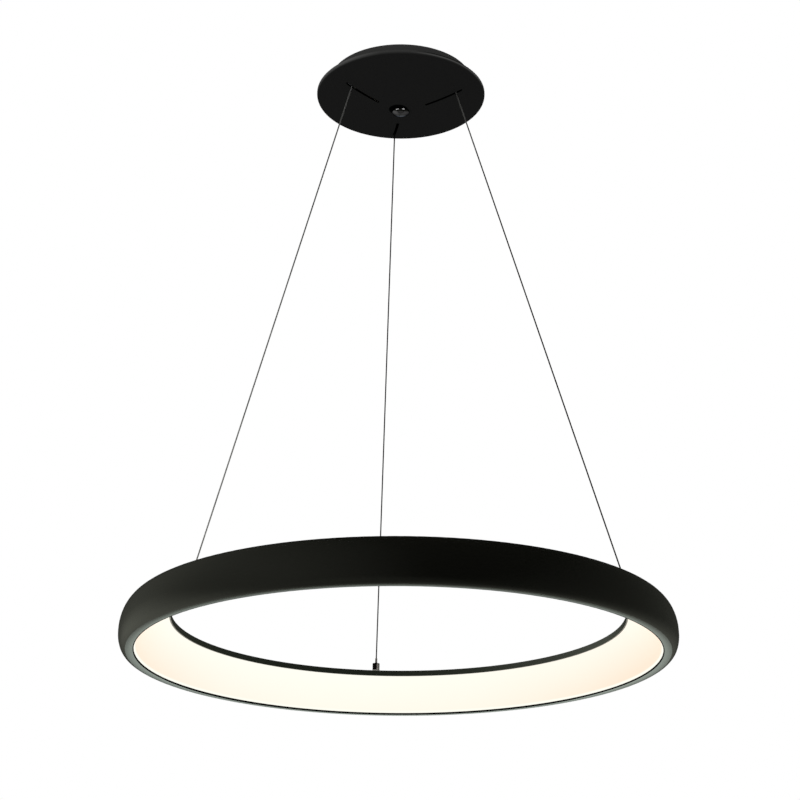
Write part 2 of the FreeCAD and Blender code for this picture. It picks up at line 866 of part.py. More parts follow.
CARRIER_LOW_SHARE = 0.06
CARRIER_HIGH_SHARE = 0.82
BOARD_MIDDLE_SHARE = 0.46


def led_carrier():
    """The white cone that backs the light, with a flange under the ring's top."""
    near, far = s.light_gap, s.light_gap + s.carrier_wall
    low_near, high_near = behind(CARRIER_LOW_SHARE, near), behind(CARRIER_HIGH_SHARE, near)
    low_far = behind(CARRIER_LOW_SHARE, far)
    flange_top = crown_height(high_near[0], s.ring_crown_radius) - s.ring_wall - s.carrier_headroom
    inner = high_near[0]
    bend_rise = s.carrier_wall * cone_length / cone_run - s.carrier_wall * cone_rise / cone_run
    corners = [
        low_near,
        high_near,
        (inner, flange_top),
        (inner + s.carrier_flange, flange_top),
        (inner + s.carrier_flange, flange_top - s.carrier_wall),
        (inner + s.carrier_wall, flange_top - s.carrier_wall),
        (inner + s.carrier_wall, high_near[1] + bend_rise),
        low_far,
    ]
    keep(place(turned("led_carrier", corners[::-1]), z=ring_base))
    return inner, flange_top


def led_boards():
    """Curved circuit boards on the carrier's face, and the light chips on them."""
    half = s.board_width / 2 / cone_length
    low, high = BOARD_MIDDLE_SHARE - half, BOARD_MIDDLE_SHARE + half
    back = s.light_gap - s.glue_gap
    front = back - s.board_wall
    corners = [behind(low, front), behind(low, back), behind(high, back), behind(high, front)]
    chips = []
    across, up = behind(BOARD_MIDDLE_SHARE, front - s.chip_height - s.glue_gap / 2)
    tilt = math.degrees(math.atan2(number(cone_run), number(cone_rise)))
    side = number(s.chip_size)
    for index, azimuth in enumerate(spread(BOARD_COUNT), start=1):
        board = turned(f"led_board_{index}", corners, BOARD_ANGLE)
        turn = FreeCAD.Rotation(Vector(0, 0, 1), azimuth)
        keep(place(board, z=ring_base, turn=turn))
        for k in range(CHIPS_ON_BOARD):
            chip = Part.makeBox(number(s.chip_height), side, side, Vector(0, -side / 2, -side / 2))
            angle = azimuth + BOARD_ANGLE * (k + 0.5) / CHIPS_ON_BOARD
            lean = FreeCAD.Rotation(Vector(0, 0, 1), angle) * FreeCAD.Rotation(Vector(0, 1, 0), -tilt)
            x, y = around(across, angle)
            chip.Placement = FreeCAD.Placement(Vector(number(x), number(y), number(ring_base + up)), lean)
            chips.append(chip)
    ready("led_chips", Part.makeCompound(chips))


def carrier_screws(inner, flange_top):
    """Screws that hold the carrier's flange up against the ring's top, with spacers between."""
    radius = inner + s.carrier_flange / 2
    lowest = radius - s.carrier_head_radius
    ceiling = crown_height(lowest, s.ring_crown_radius) - s.ring_wall - s.seat_gap
    head_low = flange_top - s.carrier_wall - s.carrier_head_height
    screws = []
    for azimuth in spread(CARRIER_SCREW_COUNT):
        x, y = around(radius, azimuth)
        at = Vector(number(x), number(y), number(ring_base + head_low))
        head = Part.makeCylinder(number(s.carrier_head_radius), number(s.carrier_head_height), at)
        spacer_base = at + Vector(0, 0, number(flange_top - head_low))
        spacer = Part.makeCylinder(number(s.carrier_head_radius), number(ceiling - flange_top), spacer_base)
        screws += [head, spacer]
    ready("carrier_screws", Part.makeCompound(screws))


def diffuser_clips():
    """Spring-steel clips that press the diffuser's foot on the rim."""
    low = number(foot[1] + s.diffuser_wall + s.glue_gap)
    carrier_edge = behind(CARRIER_LOW_SHARE, s.light_gap + s.carrier_wall)[0]
    inner = number(carrier_edge + s.glue_gap)
    wall, reach = number(s.clip_wall), number(s.clip_reach)
    width, rise = number(s.clip_width), number(s.clip_rise)
    clips = []
    for azimuth in spread(CLIP_COUNT):
        plate = Part.makeBox(reach, width, wall, Vector(inner + wall - reach, -width / 2, low))
        riser = Part.makeBox(wall, width, rise, Vector(inner, -width / 2, low))
        clip = plate.fuse(riser).removeSplitter()
        clip.translate(Vector(0, 0, number(ring_base)))
        clip.rotate(Vector(0, 0, 0), Vector(0, 0, 1), azimuth)
        clips.append(clip)
    ready("diffuser_clips", Part.makeCompound(clips))


def anchor(index, azimuth):
    """What holds one wire on the ring: bush, insulating washer, ferrule and the wire's crimped sleeve."""
    under = -(s.ring_wall + s.seat_gap)
    flange_low = under - s.bush_flange_wall
    top = s.bush_reach
    corners = [
        (0, flange_low),
        (s.bush_flange_radius, flange_low),
        (s.bush_flange_radius, under),
        (s.bush_radius, under),
        (s.bush_radius, top),
        (0, top),
    ]
    bush = turned(f"anchor_bush_{index}", corners)
    bush.Placement = anchor_place(azimuth)
    keep(bush)
    base = s.insulator_wall + s.insulator_lift
    bore = s.bush_radius + s.thread_clearance
    height, edge, radius = s.ferrule_height, s.ferrule_edge, s.ferrule_radius
    roof = base + height - s.ferrule_roof
    corners = [
        (bore, base),
        (radius, base),
        (radius, base + height - edge),
        (radius - edge, base + height),
        (s.ferrule_bore, base + height),
        (s.ferrule_bore, roof),
        (bore, roof),
    ]
    ferrule = turned(f"wire_ferrule_{index}", corners)
    ferrule.Placement = anchor_place(azimuth)
    keep(ferrule)
    ball, rod = s.ball_radius, s.sleeve_radius
    neck = root(ball * ball - rod * rod)
    end = s.sleeve_length
    sleeve = turned(f"wire_sleeve_{index}", [(0, -ball, -ball), (rod, neck), (rod, end), (0, end)])
    lean = FreeCAD.Rotation(Vector(0, 0, 1), azimuth) * FreeCAD.Rotation(Vector(0, 1, 0), -wire_lean)
    sleeve.Placement = FreeCAD.Placement(anchor_place(azimuth, ball_lift).Base, lean)
    keep(sleeve)


def insulators():
    """Nylon washers between the ferrules and the ring's paint."""
    inner = number(s.bush_radius + s.thread_clearance)
    rings = []
    for azimuth in spread(WIRE_COUNT, WIRE_AZIMUTH):
        ring = Part.makeCylinder(number(s.insulator_radius), number(s.insulator_wall))
        ring = ring.cut(Part.makeCylinder(inner, number(s.insulator_wall)))
        ring.Placement = anchor_place(azimuth, s.insulator_lift)
        rings.append(ring)
    ready("anchor_insulators", Part.makeCompound(rings))


# Each wire runs down through its gripper, bends at the mouth and goes straight to its sleeve
ball_lift = s.insulator_lift + s.insulator_wall + s.ferrule_height - s.ferrule_roof - s.ball_drop
pivot = anchor_place(0.0, ball_lift).Base
wire_run = pivot.x - number(gripper_offset)
wire_fall = number(mouth) - pivot.z
wire_lean = math.degrees(math.atan2(wire_run, wire_fall))


def suspension_wire(index, azimuth):
    """One suspension wire, from its tail above the gripper to its end at the sleeve."""
    slope = Vector(wire_run, 0, -wire_fall).normalize()
    corner = Vector(number(gripper_offset), 0, number(mouth))
    tail = corner + Vector(0, 0, number(s.wire_tail))
    end = pivot - slope * number(s.sleeve_length + s.wire_end_gap)
    shape = tube([tail, corner, end], s.wire_bend, s.wire_radius)
    shape.rotate(Vector(0, 0, 0), Vector(0, 0, 1), azimuth)
    ready(f"suspension_wire_{index}", shape)
    if index == 1:
        print("wire corner", corner, "end", end, "length", (corner - tail).Length + (end - corner).Length)


def driver_box():
    """The driver: a case open at the top, its lid on the tray, and the board inside."""
    length, width, wall = driver_length, s.driver_width, s.driver_wall
    height = s.driver_height - s.driver_lid
    low = tray_base - s.driver_height
    centre = -driver_offset
    outer = rectangle(-length / 2, length / 2, -width / 2, width / 2)
    lid = padded("driver_lid", outer, s.driver_lid)
    keep(place(lid, y=centre, z=tray_base - s.driver_lid))
    blank = document.addObject("Part::Box", "driver_case_blank")
    for field, size in (("Length", length), ("Width", width), ("Height", height)):
        bind(blank, field, size)
    place(blank, -length / 2, centre - width / 2, low)
    room = document.addObject("Part::Box", "driver_case_room")
    for field, size in (("Length", length - wall * 2), ("Width", width - wall * 2), ("Height", height)):
        bind(room, field, size)
    place(room, -(length / 2) + wall, centre - width / 2 + wall, low + wall)
    case = document.addObject("Part::Cut", "driver_case")
    case.Label = "driver_case"
    case.Base = blank
    case.Tool = room
    keep(case)
    inset = wall + s.driver_board_inset
    board_low = low + wall + s.driver_board_rise
    board = rectangle(-length / 2 + inset, length / 2 - inset, -width / 2 + inset, width / 2 - inset)
    keep(place(padded("driver_board", board, s.driver_board_wall), y=centre, z=board_low))
    base = number(board_low + s.driver_board_wall)
    tall = number(s.driver_part_height)
    core = Part.makeBox(2 * tall, 2 * tall, tall, Vector(-tall, number(centre) - tall, base))
    parts = [core]
    for side in (-1, 1):
        spot = Vector(side * number(length) / 3, number(centre), base)
        parts.append(Part.makeCylinder(tall / 2, tall, spot))
        parts.append(Part.makeCylinder(tall / 3, tall, spot + Vector(0, tall, 0)))
    floor = number(low + wall)
    for side in (-1, 1):
        spot = Vector(side * number(length) / 3, number(centre), floor)
        parts.append(Part.makeCylinder(tall / 5, number(s.driver_board_rise), spot))
    ready("driver_components", Part.makeCompound(parts))


def terminal_block():
    """The mains terminal block with its three clamping screws."""
    length, width, height = s.terminal_length, s.terminal_width, s.terminal_height
    x, y, low = -s.terminal_x, s.terminal_y, tray_base - s.terminal_height
    corner = Vector(number(x - length / 2), number(y - width / 2), number(low))
    shape = Part.makeBox(number(length), number(width), number(height), corner)
    pitch = number(length) / TERMINAL_WAYS
    port_radius, screw_radius = number(s.terminal_port_radius), number(s.terminal_screw_radius)
    hole, depth = number(s.terminal_screw_radius + s.thread_clearance), number(s.terminal_screw_depth)
    screws = []
    for k in range(TERMINAL_WAYS):
        across = corner.x + pitch * (k + 0.5)
        port = Vector(across, corner.y, number(low + height / 2))
        shape = shape.cut(Part.makeCylinder(port_radius, number(width), port, Vector(0, 1, 0)))
        well = Vector(across, number(y), number(low))
        shape = shape.cut(Part.makeCylinder(hole, depth, well))
        screws.append(Part.makeCylinder(screw_radius, depth, well))
    ready("terminal_block", shape)
    ready("terminal_screws", Part.makeCompound(screws))


def earth_point():
    """The earth screw under the tray and the lug that it clamps."""
    spot = Vector(number(s.earth_x), number(s.terminal_y), number(tray_base))
    lug_wall, radius = number(s.earth_lug_wall), number(s.earth_head_radius)
    lug = Part.makeCylinder(radius, lug_wall, spot - Vector(0, 0, lug_wall))
    length = number(s.earth_lug_length)
    tongue = Vector(spot.x - length, spot.y - radius / 2, spot.z - lug_wall)
    lug = lug.fuse(Part.makeBox(length, radius, lug_wall, tongue)).removeSplitter()
    ready("earth_lug", lug)
    drop = lug_wall + number(s.earth_head_height)
    ready("earth_screw", Part.makeCylinder(radius, number(s.earth_head_height), spot - Vector(0, 0, drop)))


def canopy_leads():
    """The leads inside the canopy: mains to the driver, driver to two grippers, and earth."""
    x, y, level = -s.terminal_x, s.terminal_y, tray_base - s.terminal_height / 2
    pitch = s.terminal_length / TERMINAL_WAYS
    start_y = number(y - s.terminal_width / 2 + s.lead_entry)
    driver_side = number(-driver_offset + s.driver_width / 2 + s.wire_end_gap)
    radius, z = s.lead_radius, number(level)
    mains = []
    for way in (-1, 0):
        across = number(x + pitch * way)
        mains.append(tube([Vector(across, start_y, z), Vector(across, driver_side, z)], s.lead_bend, radius))
    ready("mains_leads", Part.makeCompound(mains))
    outputs = []
    for azimuth in spread(WIRE_COUNT, WIRE_AZIMUTH)[1:]:
        gx, gy = around(gripper_offset, azimuth)
        side = math.copysign(1, number(gx))
        near = side * number(driver_half + s.wire_end_gap)
        far = number(gx) - side * number(s.gripper_radius + s.wire_end_gap)
        outputs.append(tube([Vector(near, number(gy), z), Vector(far, number(gy), z)], s.lead_bend, radius))
    ready("output_leads", Part.makeCompound(outputs))
    across, low_y = number(x + pitch), number(s.earth_lead_y)
    lug_end = number(s.earth_x - s.earth_lug_length - s.wire_end_gap)
    high = number(tray_base - s.earth_lead_drop)
    route = [
        Vector(across, start_y, z),
        Vector(across, low_y, z),
        Vector(number(s.earth_lead_x), low_y, z),
        Vector(number(s.earth_lead_x), number(y), high),
        Vector(lug_end, number(y), high),
    ]
    ready("earth_lead", tube(route, s.lead_bend, radius))


def ring_leads(inner, flange_top):
    """Two supply leads round the top of the carrier, each with a short end at its bush."""
    gap = number(s.wire_end_gap)
    level = number(ring_base + flange_top + s.ring_lead_radius + s.wire_end_gap)
    thick = number(s.ring_lead_radius)
    leads = []
    for k, azimuth in enumerate(spread(WIRE_COUNT, WIRE_AZIMUTH)[1:]):
        radius = number(inner + s.ring_lead_offset + s.ring_lead_spacing * k)
        start, sweep = (azimuth, BOARD_ANGLE * BOARD_COUNT)
        loop = Part.makeTorus(radius, thick, Vector(0, 0, level), Vector(0, 0, 1), 0, 360, sweep)
        bush_edge = number(anchor_radius + s.bush_flange_radius) + gap
        stub = Part.makeCylinder(thick, radius - bush_edge, Vector(bush_edge, 0, level), Vector(1, 0, 0))
        knee = Part.makeSphere(thick, Vector(radius, 0, level))
        lead = loop.fuse([knee, stub]).removeSplitter()
        lead.rotate(Vector(0, 0, 0), Vector(0, 0, 1), start)
        leads.append(lead)
    ready("ring_leads", Part.makeCompound(leads))


def board_links():
    """Small plugs that bridge the boards' neighbouring ends."""
    half = s.link_width / 2 / cone_length
    low, high = BOARD_MIDDLE_SHARE - half, BOARD_MIDDLE_SHARE + half
    back = s.light_gap - s.glue_gap * 2 - s.board_wall
    front = back - s.link_wall
    corners = [behind(low, front), behind(low, back), behind(high, back), behind(high, front)]
    points = [Vector(number(a), 0, number(ring_base + b)) for a, b in corners]
    face = Part.Face(Part.makePolygon(points + points[:1]))
    gap = 360.0 / BOARD_COUNT - BOARD_ANGLE
    links = []
    for azimuth in spread(BOARD_COUNT):
        link = face.revolve(Vector(0, 0, 0), Vector(0, 0, 1), LINK_ANGLE)
        link.rotate(Vector(0, 0, 0), Vector(0, 0, 1), azimuth - (LINK_ANGLE + gap) / 2)
        links.append(link)
    ready("board_links", Part.makeCompound(links))


def build():
    """Every sub-part of the lamp."""
    ceiling_bracket()
    gear_tray()
    cable_grommet()
    centre_stud()
    stud_nuts()
    canopy_cover()
    cover_washer()
    dome_nut()
    gripper_nuts()
    driver_box()
    terminal_block()
    earth_point()
    canopy_leads()
    ring_casing()
    diffuser()
    inner, flange_top = led_carrier()
    led_boards()
    board_links()
    carrier_screws(inner, flange_top)
    ring_leads(inner, flange_top)
    diffuser_clips()
    insulators()
    for index, azimuth in enumerate(spread(WIRE_COUNT, WIRE_AZIMUTH), start=1):
        wire_gripper(index, azimuth)
        anchor(index, azimuth)
        suspension_wire(index, azimuth)


def check():
    """Stops the build where any object failed or any sub-part is empty or broken."""
    document.recompute()
    for thing in document.Objects:
        if {"Invalid", "Error"} & set(thing.State):
            raise RuntimeError(f"{thing.Label} failed: {thing.State}")
    for node in nodes:
        if node.Shape.isNull() or not node.Shape.isValid() or not node.Shape.Solids:
            raise RuntimeError(f"{node.Label} has no sound shape")


def write():
    """Writes each sub-part to its own file."""
    os.makedirs("parts", exist_ok=True)
    for node in nodes:
        node.Shape.exportStep(f"parts/{node.Label}.step")
        print(f"{node.Label}: {len(node.Shape.Solids)} solids, {node.Shape.Volume:.1f} mm3")
    print(len(nodes), "nodes")


build()
check()
write()
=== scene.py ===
"""The dressed LED ring pendant: black canopy, three steel wires and a black ring with a lit opal cone."""
import json
import math

import bpy
import numpy as np
from mathutils import Matrix, Vector


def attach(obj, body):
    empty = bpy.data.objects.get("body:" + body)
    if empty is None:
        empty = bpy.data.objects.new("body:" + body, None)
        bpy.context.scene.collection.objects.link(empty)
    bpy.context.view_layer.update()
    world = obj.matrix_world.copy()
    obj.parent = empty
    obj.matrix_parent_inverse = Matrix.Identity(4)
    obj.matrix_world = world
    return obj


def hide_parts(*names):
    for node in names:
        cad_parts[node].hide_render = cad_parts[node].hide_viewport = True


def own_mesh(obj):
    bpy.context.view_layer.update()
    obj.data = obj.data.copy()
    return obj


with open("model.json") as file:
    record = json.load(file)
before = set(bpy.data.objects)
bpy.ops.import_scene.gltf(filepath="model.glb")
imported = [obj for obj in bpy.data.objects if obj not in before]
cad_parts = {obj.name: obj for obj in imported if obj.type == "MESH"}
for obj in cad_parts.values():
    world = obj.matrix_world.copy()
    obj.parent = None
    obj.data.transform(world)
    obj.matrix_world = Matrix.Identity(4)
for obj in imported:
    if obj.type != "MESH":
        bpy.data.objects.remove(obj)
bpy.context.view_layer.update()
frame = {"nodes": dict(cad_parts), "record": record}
nodes = frame["nodes"]
scene = bpy.context.scene
scene.view_settings.view_transform = "Standard"

# Azimuths of the three wires, in degrees from +X towards +Y
WIRE_AZIMUTHS = (90.0, 210.0, 330.0)
# One wire's route as radius and height: tail, above the mouth, mouth, below the mouth, sleeve end
WIRE_ROUTE = (
    (0.0712, -0.0044),
    (0.0712, -0.0174),
    (0.0712, -0.0264),
    (0.07375, -0.03503),
    (0.25903, -0.66111),
)
WIRE_DIAMETER = 0.0015
GRIPPER_RADIUS, GRIPPER_MOUTH = WIRE_ROUTE[2]
# Painted light and shade: each wire's grey at its lower end, just under the canopy, and before the canopy
WIRE_SHADED_GREYS = ((0.10, 0.005, 0.005), (0.90, 0.24, 0.34), (0.01, 0.03, 0.27))
# Heights between which a wire's grey goes from the first to the second, and from the second to the third
GREY_CLIMB, GREY_TOP = (-0.660, -0.150), (-0.110, -0.090)

# The gripper springs: heights of their two ends, coil radius, wire radius and turns
SPRING_ENDS = (-0.0192, -0.0108)
SPRING_RADIUS, SPRING_WIRE, SPRING_TURNS = 0.0026, 0.0003, 5

# The ring: height of its base, and the radii of the cone's wide end at the rim and narrow end at the lip
RING_BASE = -0.724
RIM_RADIUS, LIP_RADIUS = 0.2875, 0.2495
# The painted shadow gap on the rim's edge: its height, its width outside the rim, how much wider it gets and
# between which Y
EDGE_HEIGHT, EDGE_WIDTH, EDGE_GAIN, EDGE_GAIN_Y = 0.0017, 0.0008, 0.0025, (0.130, 0.250)
# How far inside the rim that edge starts and is full, and how softly it ends outwards and upwards
EDGE_INSETS, EDGE_BLURS = (0.002, 0.001), (0.0005, 0.0004)
# The rolled underside: how wide it leans more and more, how wide that fades, its steepest lean, and between
# which heights over the base it ends
UNDERSIDE_WIDTH, UNDERSIDE_FADE, UNDERSIDE_LEAN, UNDERSIDE_TOP = 0.0093, 0.0050, 0.25, (0.020, 0.010)
# Painted light on the lip: how far outside the lip it starts and is full, and between which X it gains
LIP_LIGHT_REACH, LIP_LIGHT_GAIN_X = (0.0015, 0.0005), (0.110, 0.230)
# The lit cone: heights over the base from most peach to least, and how far inside the rim its white edge is
# full and ends
PEACH_HEIGHTS, WHITE_EDGE = (0.002, 0.038), (0.0010, 0.0022)

# Bands of painted light and shade on the canopy's coat, each as where it starts and where it is full:
# heights of the brim's painted light, of its painted highlight edge, of the painted shadow's lower and upper
# side in the crease and of the painted highlight line's, and X of its two sides
BRIM_LIGHT_BAND, BRIM_HIGHLIGHT = (-0.0225, -0.0195), (-0.0160, -0.0185)
CREASE_SHADOW_LOWER, CREASE_SHADOW_UPPER = (-0.0193, -0.0186), (-0.0140, -0.0165)
HIGHLIGHT_LINE_LOWER, HIGHLIGHT_LINE_UPPER = (-0.0212, -0.0206), (-0.0190, -0.0194)
LEFT_SIDE, RIGHT_SIDE = (-0.035, -0.070), (0.000, 0.030)
# The canopy's slots: half the width of the painted shade along their edges, its two ends as radii, how far
# it sits towards +Y, and how softly it ends sideways and lengthways
SLOT_HALF, SLOT_ENDS, SLOT_SHIFT, SLOT_BLURS = 0.0017, (0.0330, 0.0800), 0.0007, (0.0002, 0.0005)
# The painted shadow round the nut: its middle in plan, and the radii at which it starts and is full
NUT_SHADE_CENTRE, NUT_SHADE_RADII = (-0.0035, -0.0040), (0.0120, 0.0108)
# The nut's painted reflections: Y of its far half, the tilted plane's normal along Y and Z, and its offsets
NUT_FAR, NUT_PLANE, NUT_PLANE_OFFSETS = (-0.0030, 0.0010), (-0.463, 0.886), (-0.0370, -0.0364)
# The strips that the nut's edge mirrors: name, azimuth from +Y towards +X, width and power
NUT_GLINTS = (("left_strip", -125.0, 0.65, 24.0), ("right_strip", 150.0, 0.50, 26.0))
NUT_MIDDLE = (0.0, 0.0, -0.044)
STRIP_DISTANCE, STRIP_LEVEL, STRIP_HEIGHT = 0.9, -0.45, 0.8

# Each ferrule's painted dark reflection on one side, as the normal's part along X where it starts and is
# full
FERRULE_DARK_REFLECTION = (0.22, 0.08)

# The camera: place in metres, heading in degrees from +Y towards +X, pitch and roll in radians, lens in mm
CAMERA_PLACE = (-0.2171, -2.0486, -1.2277)
CAMERA_HEADING, CAMERA_PITCH, CAMERA_ROLL = 6.063, 0.3734, 0.0041
CAMERA_LENS, CAMERA_SENSOR = 86.49, 36.0
# The studio: the floor's half side and height, and how much of it is plain white to the camera
FLOOR_REACH, FLOOR_LEVEL, FLOOR_WHITE = 9.0, -2.35, 0.6
# Dark sheets of painted shade, for the dark under the ceiling: name, height, inner and outer radius, and
# whether it stops light
CEILING_SHADES = (
    ("ceiling_over_canopy", 0.0001, 0.0005, 0.0855, False),
    ("gap_round_tray", -0.0075, 0.0801, 0.0853, True),
)
# Soft boxes that glossy reflections don't see: name, place, target, width, height and power
SOFT_BOXES = (
    ("left_box", (-3.4, -1.2, 0.3), (0.0, 0.0, -0.5), 1.4, 1.8, 18.0),
    ("floor_wash", (0.0, 1.5, 2.4), (0.0, 0.4, -2.35), 2.5, 2.5, 90.0),
)


# Camera

def pendant_camera():
    """A long lens below the ring: a place, a level heading, an upward pitch and a slight roll."""
    data = bpy.data.cameras.new("pendant_camera")
    data.sensor_width = CAMERA_SENSOR
    data.lens = CAMERA_LENS
    data.clip_start, data.clip_end = 0.05, 60.0
    data.dof.use_dof = False
    camera = bpy.data.objects.new("pendant_camera", data)
    scene.collection.objects.link(camera)
    heading, pitch, roll = math.radians(CAMERA_HEADING), CAMERA_PITCH, CAMERA_ROLL
    level = Vector((math.sin(heading), math.cos(heading), 0.0))
    forward = level * math.cos(pitch) + Vector((0, 0, math.sin(pitch)))
    side = forward.cross(Vector((0, 0, 1))).normalized()
    top = side.cross(forward)
    right = side * math.cos(roll) + top * math.sin(roll)
    up = top * math.cos(roll) - side * math.sin(roll)
    turn = Matrix((right, up, -forward)).transposed().to_4x4()
    camera.matrix_world = Matrix.Translation(CAMERA_PLACE) @ turn
    scene.camera = camera


pendant_camera()


# Shader helpers: tree is a node tree, and a source is a socket's output, a number or a colour

def rgb(red, green, blue):
    """A colour with full alpha."""
    return (red, green, blue, 1.0)


def new_material(name):
    """A material, its node tree and its Principled shader."""
    material = bpy.data.materials.new(name)
    material.use_nodes = True
    return material, material.node_tree, material.node_tree.nodes["Principled BSDF"]


def feed(tree, socket, source):
    """Gives an input its source."""
    if isinstance(source, bpy.types.NodeSocket):
        tree.links.new(source, socket)
    else:
        socket.default_value = source


def preset(node, values):
    """Sets a node's own values by the names of its inputs."""
    for label, value in values.items():
        node.inputs[label].default_value = value


def math_node(tree, operation, *sources, clamp=False):
    """The result of a Math node."""
    node = tree.nodes.new("ShaderNodeMath")
    node.operation = operation
    node.use_clamp = clamp
    for socket, source in zip(node.inputs, sources):
        feed(tree, socket, source)
    return node.outputs[0]


def plus(tree, first, second, clamp=False):
    """The sum of two sources."""
    return math_node(tree, "ADD", first, second, clamp=clamp)


def minus(tree, first, second, clamp=False):
    """The first source less the second."""
    return math_node(tree, "SUBTRACT", first, second, clamp=clamp)


def times(tree, first, second, clamp=False):
    """The product of two sources."""
    return math_node(tree, "MULTIPLY", first, second, clamp=clamp)


def ramp(tree, value, start, full):
    """Zero at start, one at full, straight between and level beyond."""
    node = tree.nodes.new("ShaderNodeMapRange")
    preset(node, {"From Min": start, "From Max": full})
    tree.links.new(value, node.inputs["Value"])
    return node.outputs["Result"]


def span(tree, value, low, high):
    """How far a value reaches past low, no further than high: zero at low, high - low at most."""
    past = math_node(tree, "MAXIMUM", minus(tree, value, low), 0.0)
    return math_node(tree, "MINIMUM", past, high - low)


def split(tree, vector):
    """The three parts of a vector, by name."""
    node = tree.nodes.new("ShaderNodeSeparateXYZ")
    tree.links.new(vector, node.inputs[0])
    return node.outputs


def object_place(tree):
    """Object coordinates."""
    return tree.nodes.new("ShaderNodeTexCoord").outputs["Object"]


def facing(tree):
    """The three parts of the surface's normal."""
    return split(tree, tree.nodes.new("ShaderNodeNewGeometry").outputs["Normal"])


def plan_distance(tree, parts, centre=(0.0, 0.0)):
    """The distance in plan from a centre: the root of the sum of the squares along X and Y."""
    offsets = [minus(tree, parts[label], middle) for label, middle in zip("XY", centre)]
    squares = [times(tree, offset, offset) for offset in offsets]
    return math_node(tree, "SQRT", plus(tree, *squares))


def noise(tree, vector, scale, detail, roughness=0.5):
    """The factor of a noise texture on a vector."""
    node = tree.nodes.new("ShaderNodeTexNoise")
    sources = {"Vector": vector, "Scale": scale, "Detail": detail, "Roughness": roughness}
    for label, source in sources.items():
        feed(tree, node.inputs[label], source)
    return node.outputs["Fac"]


def blend(tree, share, first, second):
    """Two colours mixed by a share of the second."""
    node = tree.nodes.new("ShaderNodeMix")
    node.data_type = "RGBA"
    for label, source in (("Factor", share), ("A", first), ("B", second)):
        feed(tree, node.inputs[label], source)
    return node.outputs["Result"]


def bumped(tree, height, normal=None):
    """The normal that a height in metres gives, on top of another normal where there is one."""
    node = tree.nodes.new("ShaderNodeBump")
    node.inputs["Distance"].default_value = 1.0
    tree.links.new(height, node.inputs["Height"])
    if normal:
        tree.links.new(normal, node.inputs["Normal"])
    return node.outputs["Normal"]


def mix_shaders(tree, share, first, second):
    """Two shaders mixed by a share of the second."""
    node = tree.nodes.new("ShaderNodeMixShader")
    for socket, source in zip(node.inputs, (share, first, second)):
        tree.links.new(source, socket)
    return node.outputs["Shader"]


# Shared effects

def effect_group(name, inputs):
    """A shader group with named inputs, which puts out a colour, a roughness and a normal."""
    group = bpy.data.node_groups.new(name, "ShaderNodeTree")
    for label, value in inputs.items():
        kind = "NodeSocketColor" if isinstance(value, tuple) else "NodeSocketFloat"
        socket = group.interface.new_socket(label, in_out="INPUT", socket_type=kind)
        socket.default_value = value
    for label, kind in (("Color", "Color"), ("Roughness", "Float"), ("Normal", "Vector")):
        group.interface.new_socket(label, in_out="OUTPUT", socket_type=f"NodeSocket{kind}")
    return group, group.nodes.new("NodeGroupInput").outputs, group.nodes.new("NodeGroupOutput").inputs


def coat_group():
    """Powder coat: orange peel in the normal, a slow cloud in the roughness, and dust on upward faces."""
    group, given, result = effect_group("powder_coat", {
        "Color": rgb(0.02, 0.02, 0.02),
        "Dust Color": rgb(0.1, 0.1, 0.1),
        "Dust": 0.1,
        "Roughness": 0.45,
        "Roughness Spread": 0.08,
        "Grain Scale": 900.0,
        "Grain Depth": 0.00006,
    })
    place = object_place(group)
    peel = noise(group, place, given["Grain Scale"], 3.0, 0.6)
    cloud = noise(group, place, 14.0, 4.0)
    flecks = noise(group, place, 520.0, 2.0, 0.7)
    upward = math_node(group, "MAXIMUM", facing(group)["Z"], 0.0)
    settled = times(group, times(group, upward, flecks), given["Dust"], clamp=True)
    drift = times(group, minus(group, cloud, 0.5), given["Roughness Spread"])
    rough = plus(group, drift, given["Roughness"])
    rough = plus(group, rough, times(group, settled, 0.4), clamp=True)
    group.links.new(blend(group, settled, given["Color"], given["Dust Color"]), result["Color"])
    group.links.new(rough, result["Roughness"])
    group.links.new(bumped(group, times(group, peel, given["Grain Depth"])), result["Normal"])
    return group


def speckle_group():
    """Moulded or rolled stock: two tones mixed by a noise, which the roughness and a faint bump follow."""
    group, given, result = effect_group("speckled_stock", {
        "Color": rgb(0.5, 0.5, 0.5),
        "Second Color": rgb(0.4, 0.4, 0.4),
        "Mix": 0.5,
        "Scale": 300.0,
        "Roughness": 0.5,
        "Roughness Spread": 0.1,
        "Bump": 0.00002,
    })
    fine = noise(group, object_place(group), given["Scale"], 4.0)
    share = times(group, fine, given["Mix"], clamp=True)
    drift = times(group, minus(group, fine, 0.5), given["Roughness Spread"])
    group.links.new(blend(group, share, given["Color"], given["Second Color"]), result["Color"])
    group.links.new(plus(group, drift, given["Roughness"], clamp=True), result["Roughness"])
    group.links.new(bumped(group, times(group, fine, given["Bump"])), result["Normal"])
    return group


POWDER = coat_group()
SPECKLE = speckle_group()


def grouped_material(name, group, values, metallic, specular):
    """A Principled material fed by a group's colour, roughness and normal."""
    material, tree, shader = new_material(name)
    effect = tree.nodes.new("ShaderNodeGroup")
    effect.node_tree = group
    preset(effect, values)
    tree.links.new(effect.outputs["Color"], shader.inputs["Base Color"])
    tree.links.new(effect.outputs["Roughness"], shader.inputs["Roughness"])
    tree.links.new(effect.outputs["Normal"], shader.inputs["Normal"])
    preset(shader, {"Metallic": metallic, "Specular IOR Level": specular})
    return material


def painted(name, color, rough, spread=0.06, dust=0.12, grain=0.00005, specular=0.5):
    """A powder-coated finish."""
    values = {
        "Color": color,
        "Dust Color": rgb(0.16, 0.155, 0.15),
        "Dust": dust,
        "Roughness": rough,
        "Roughness Spread": spread,
        "Grain Depth": grain,
    }
    return grouped_material(name, POWDER, values, 0.0, specular)


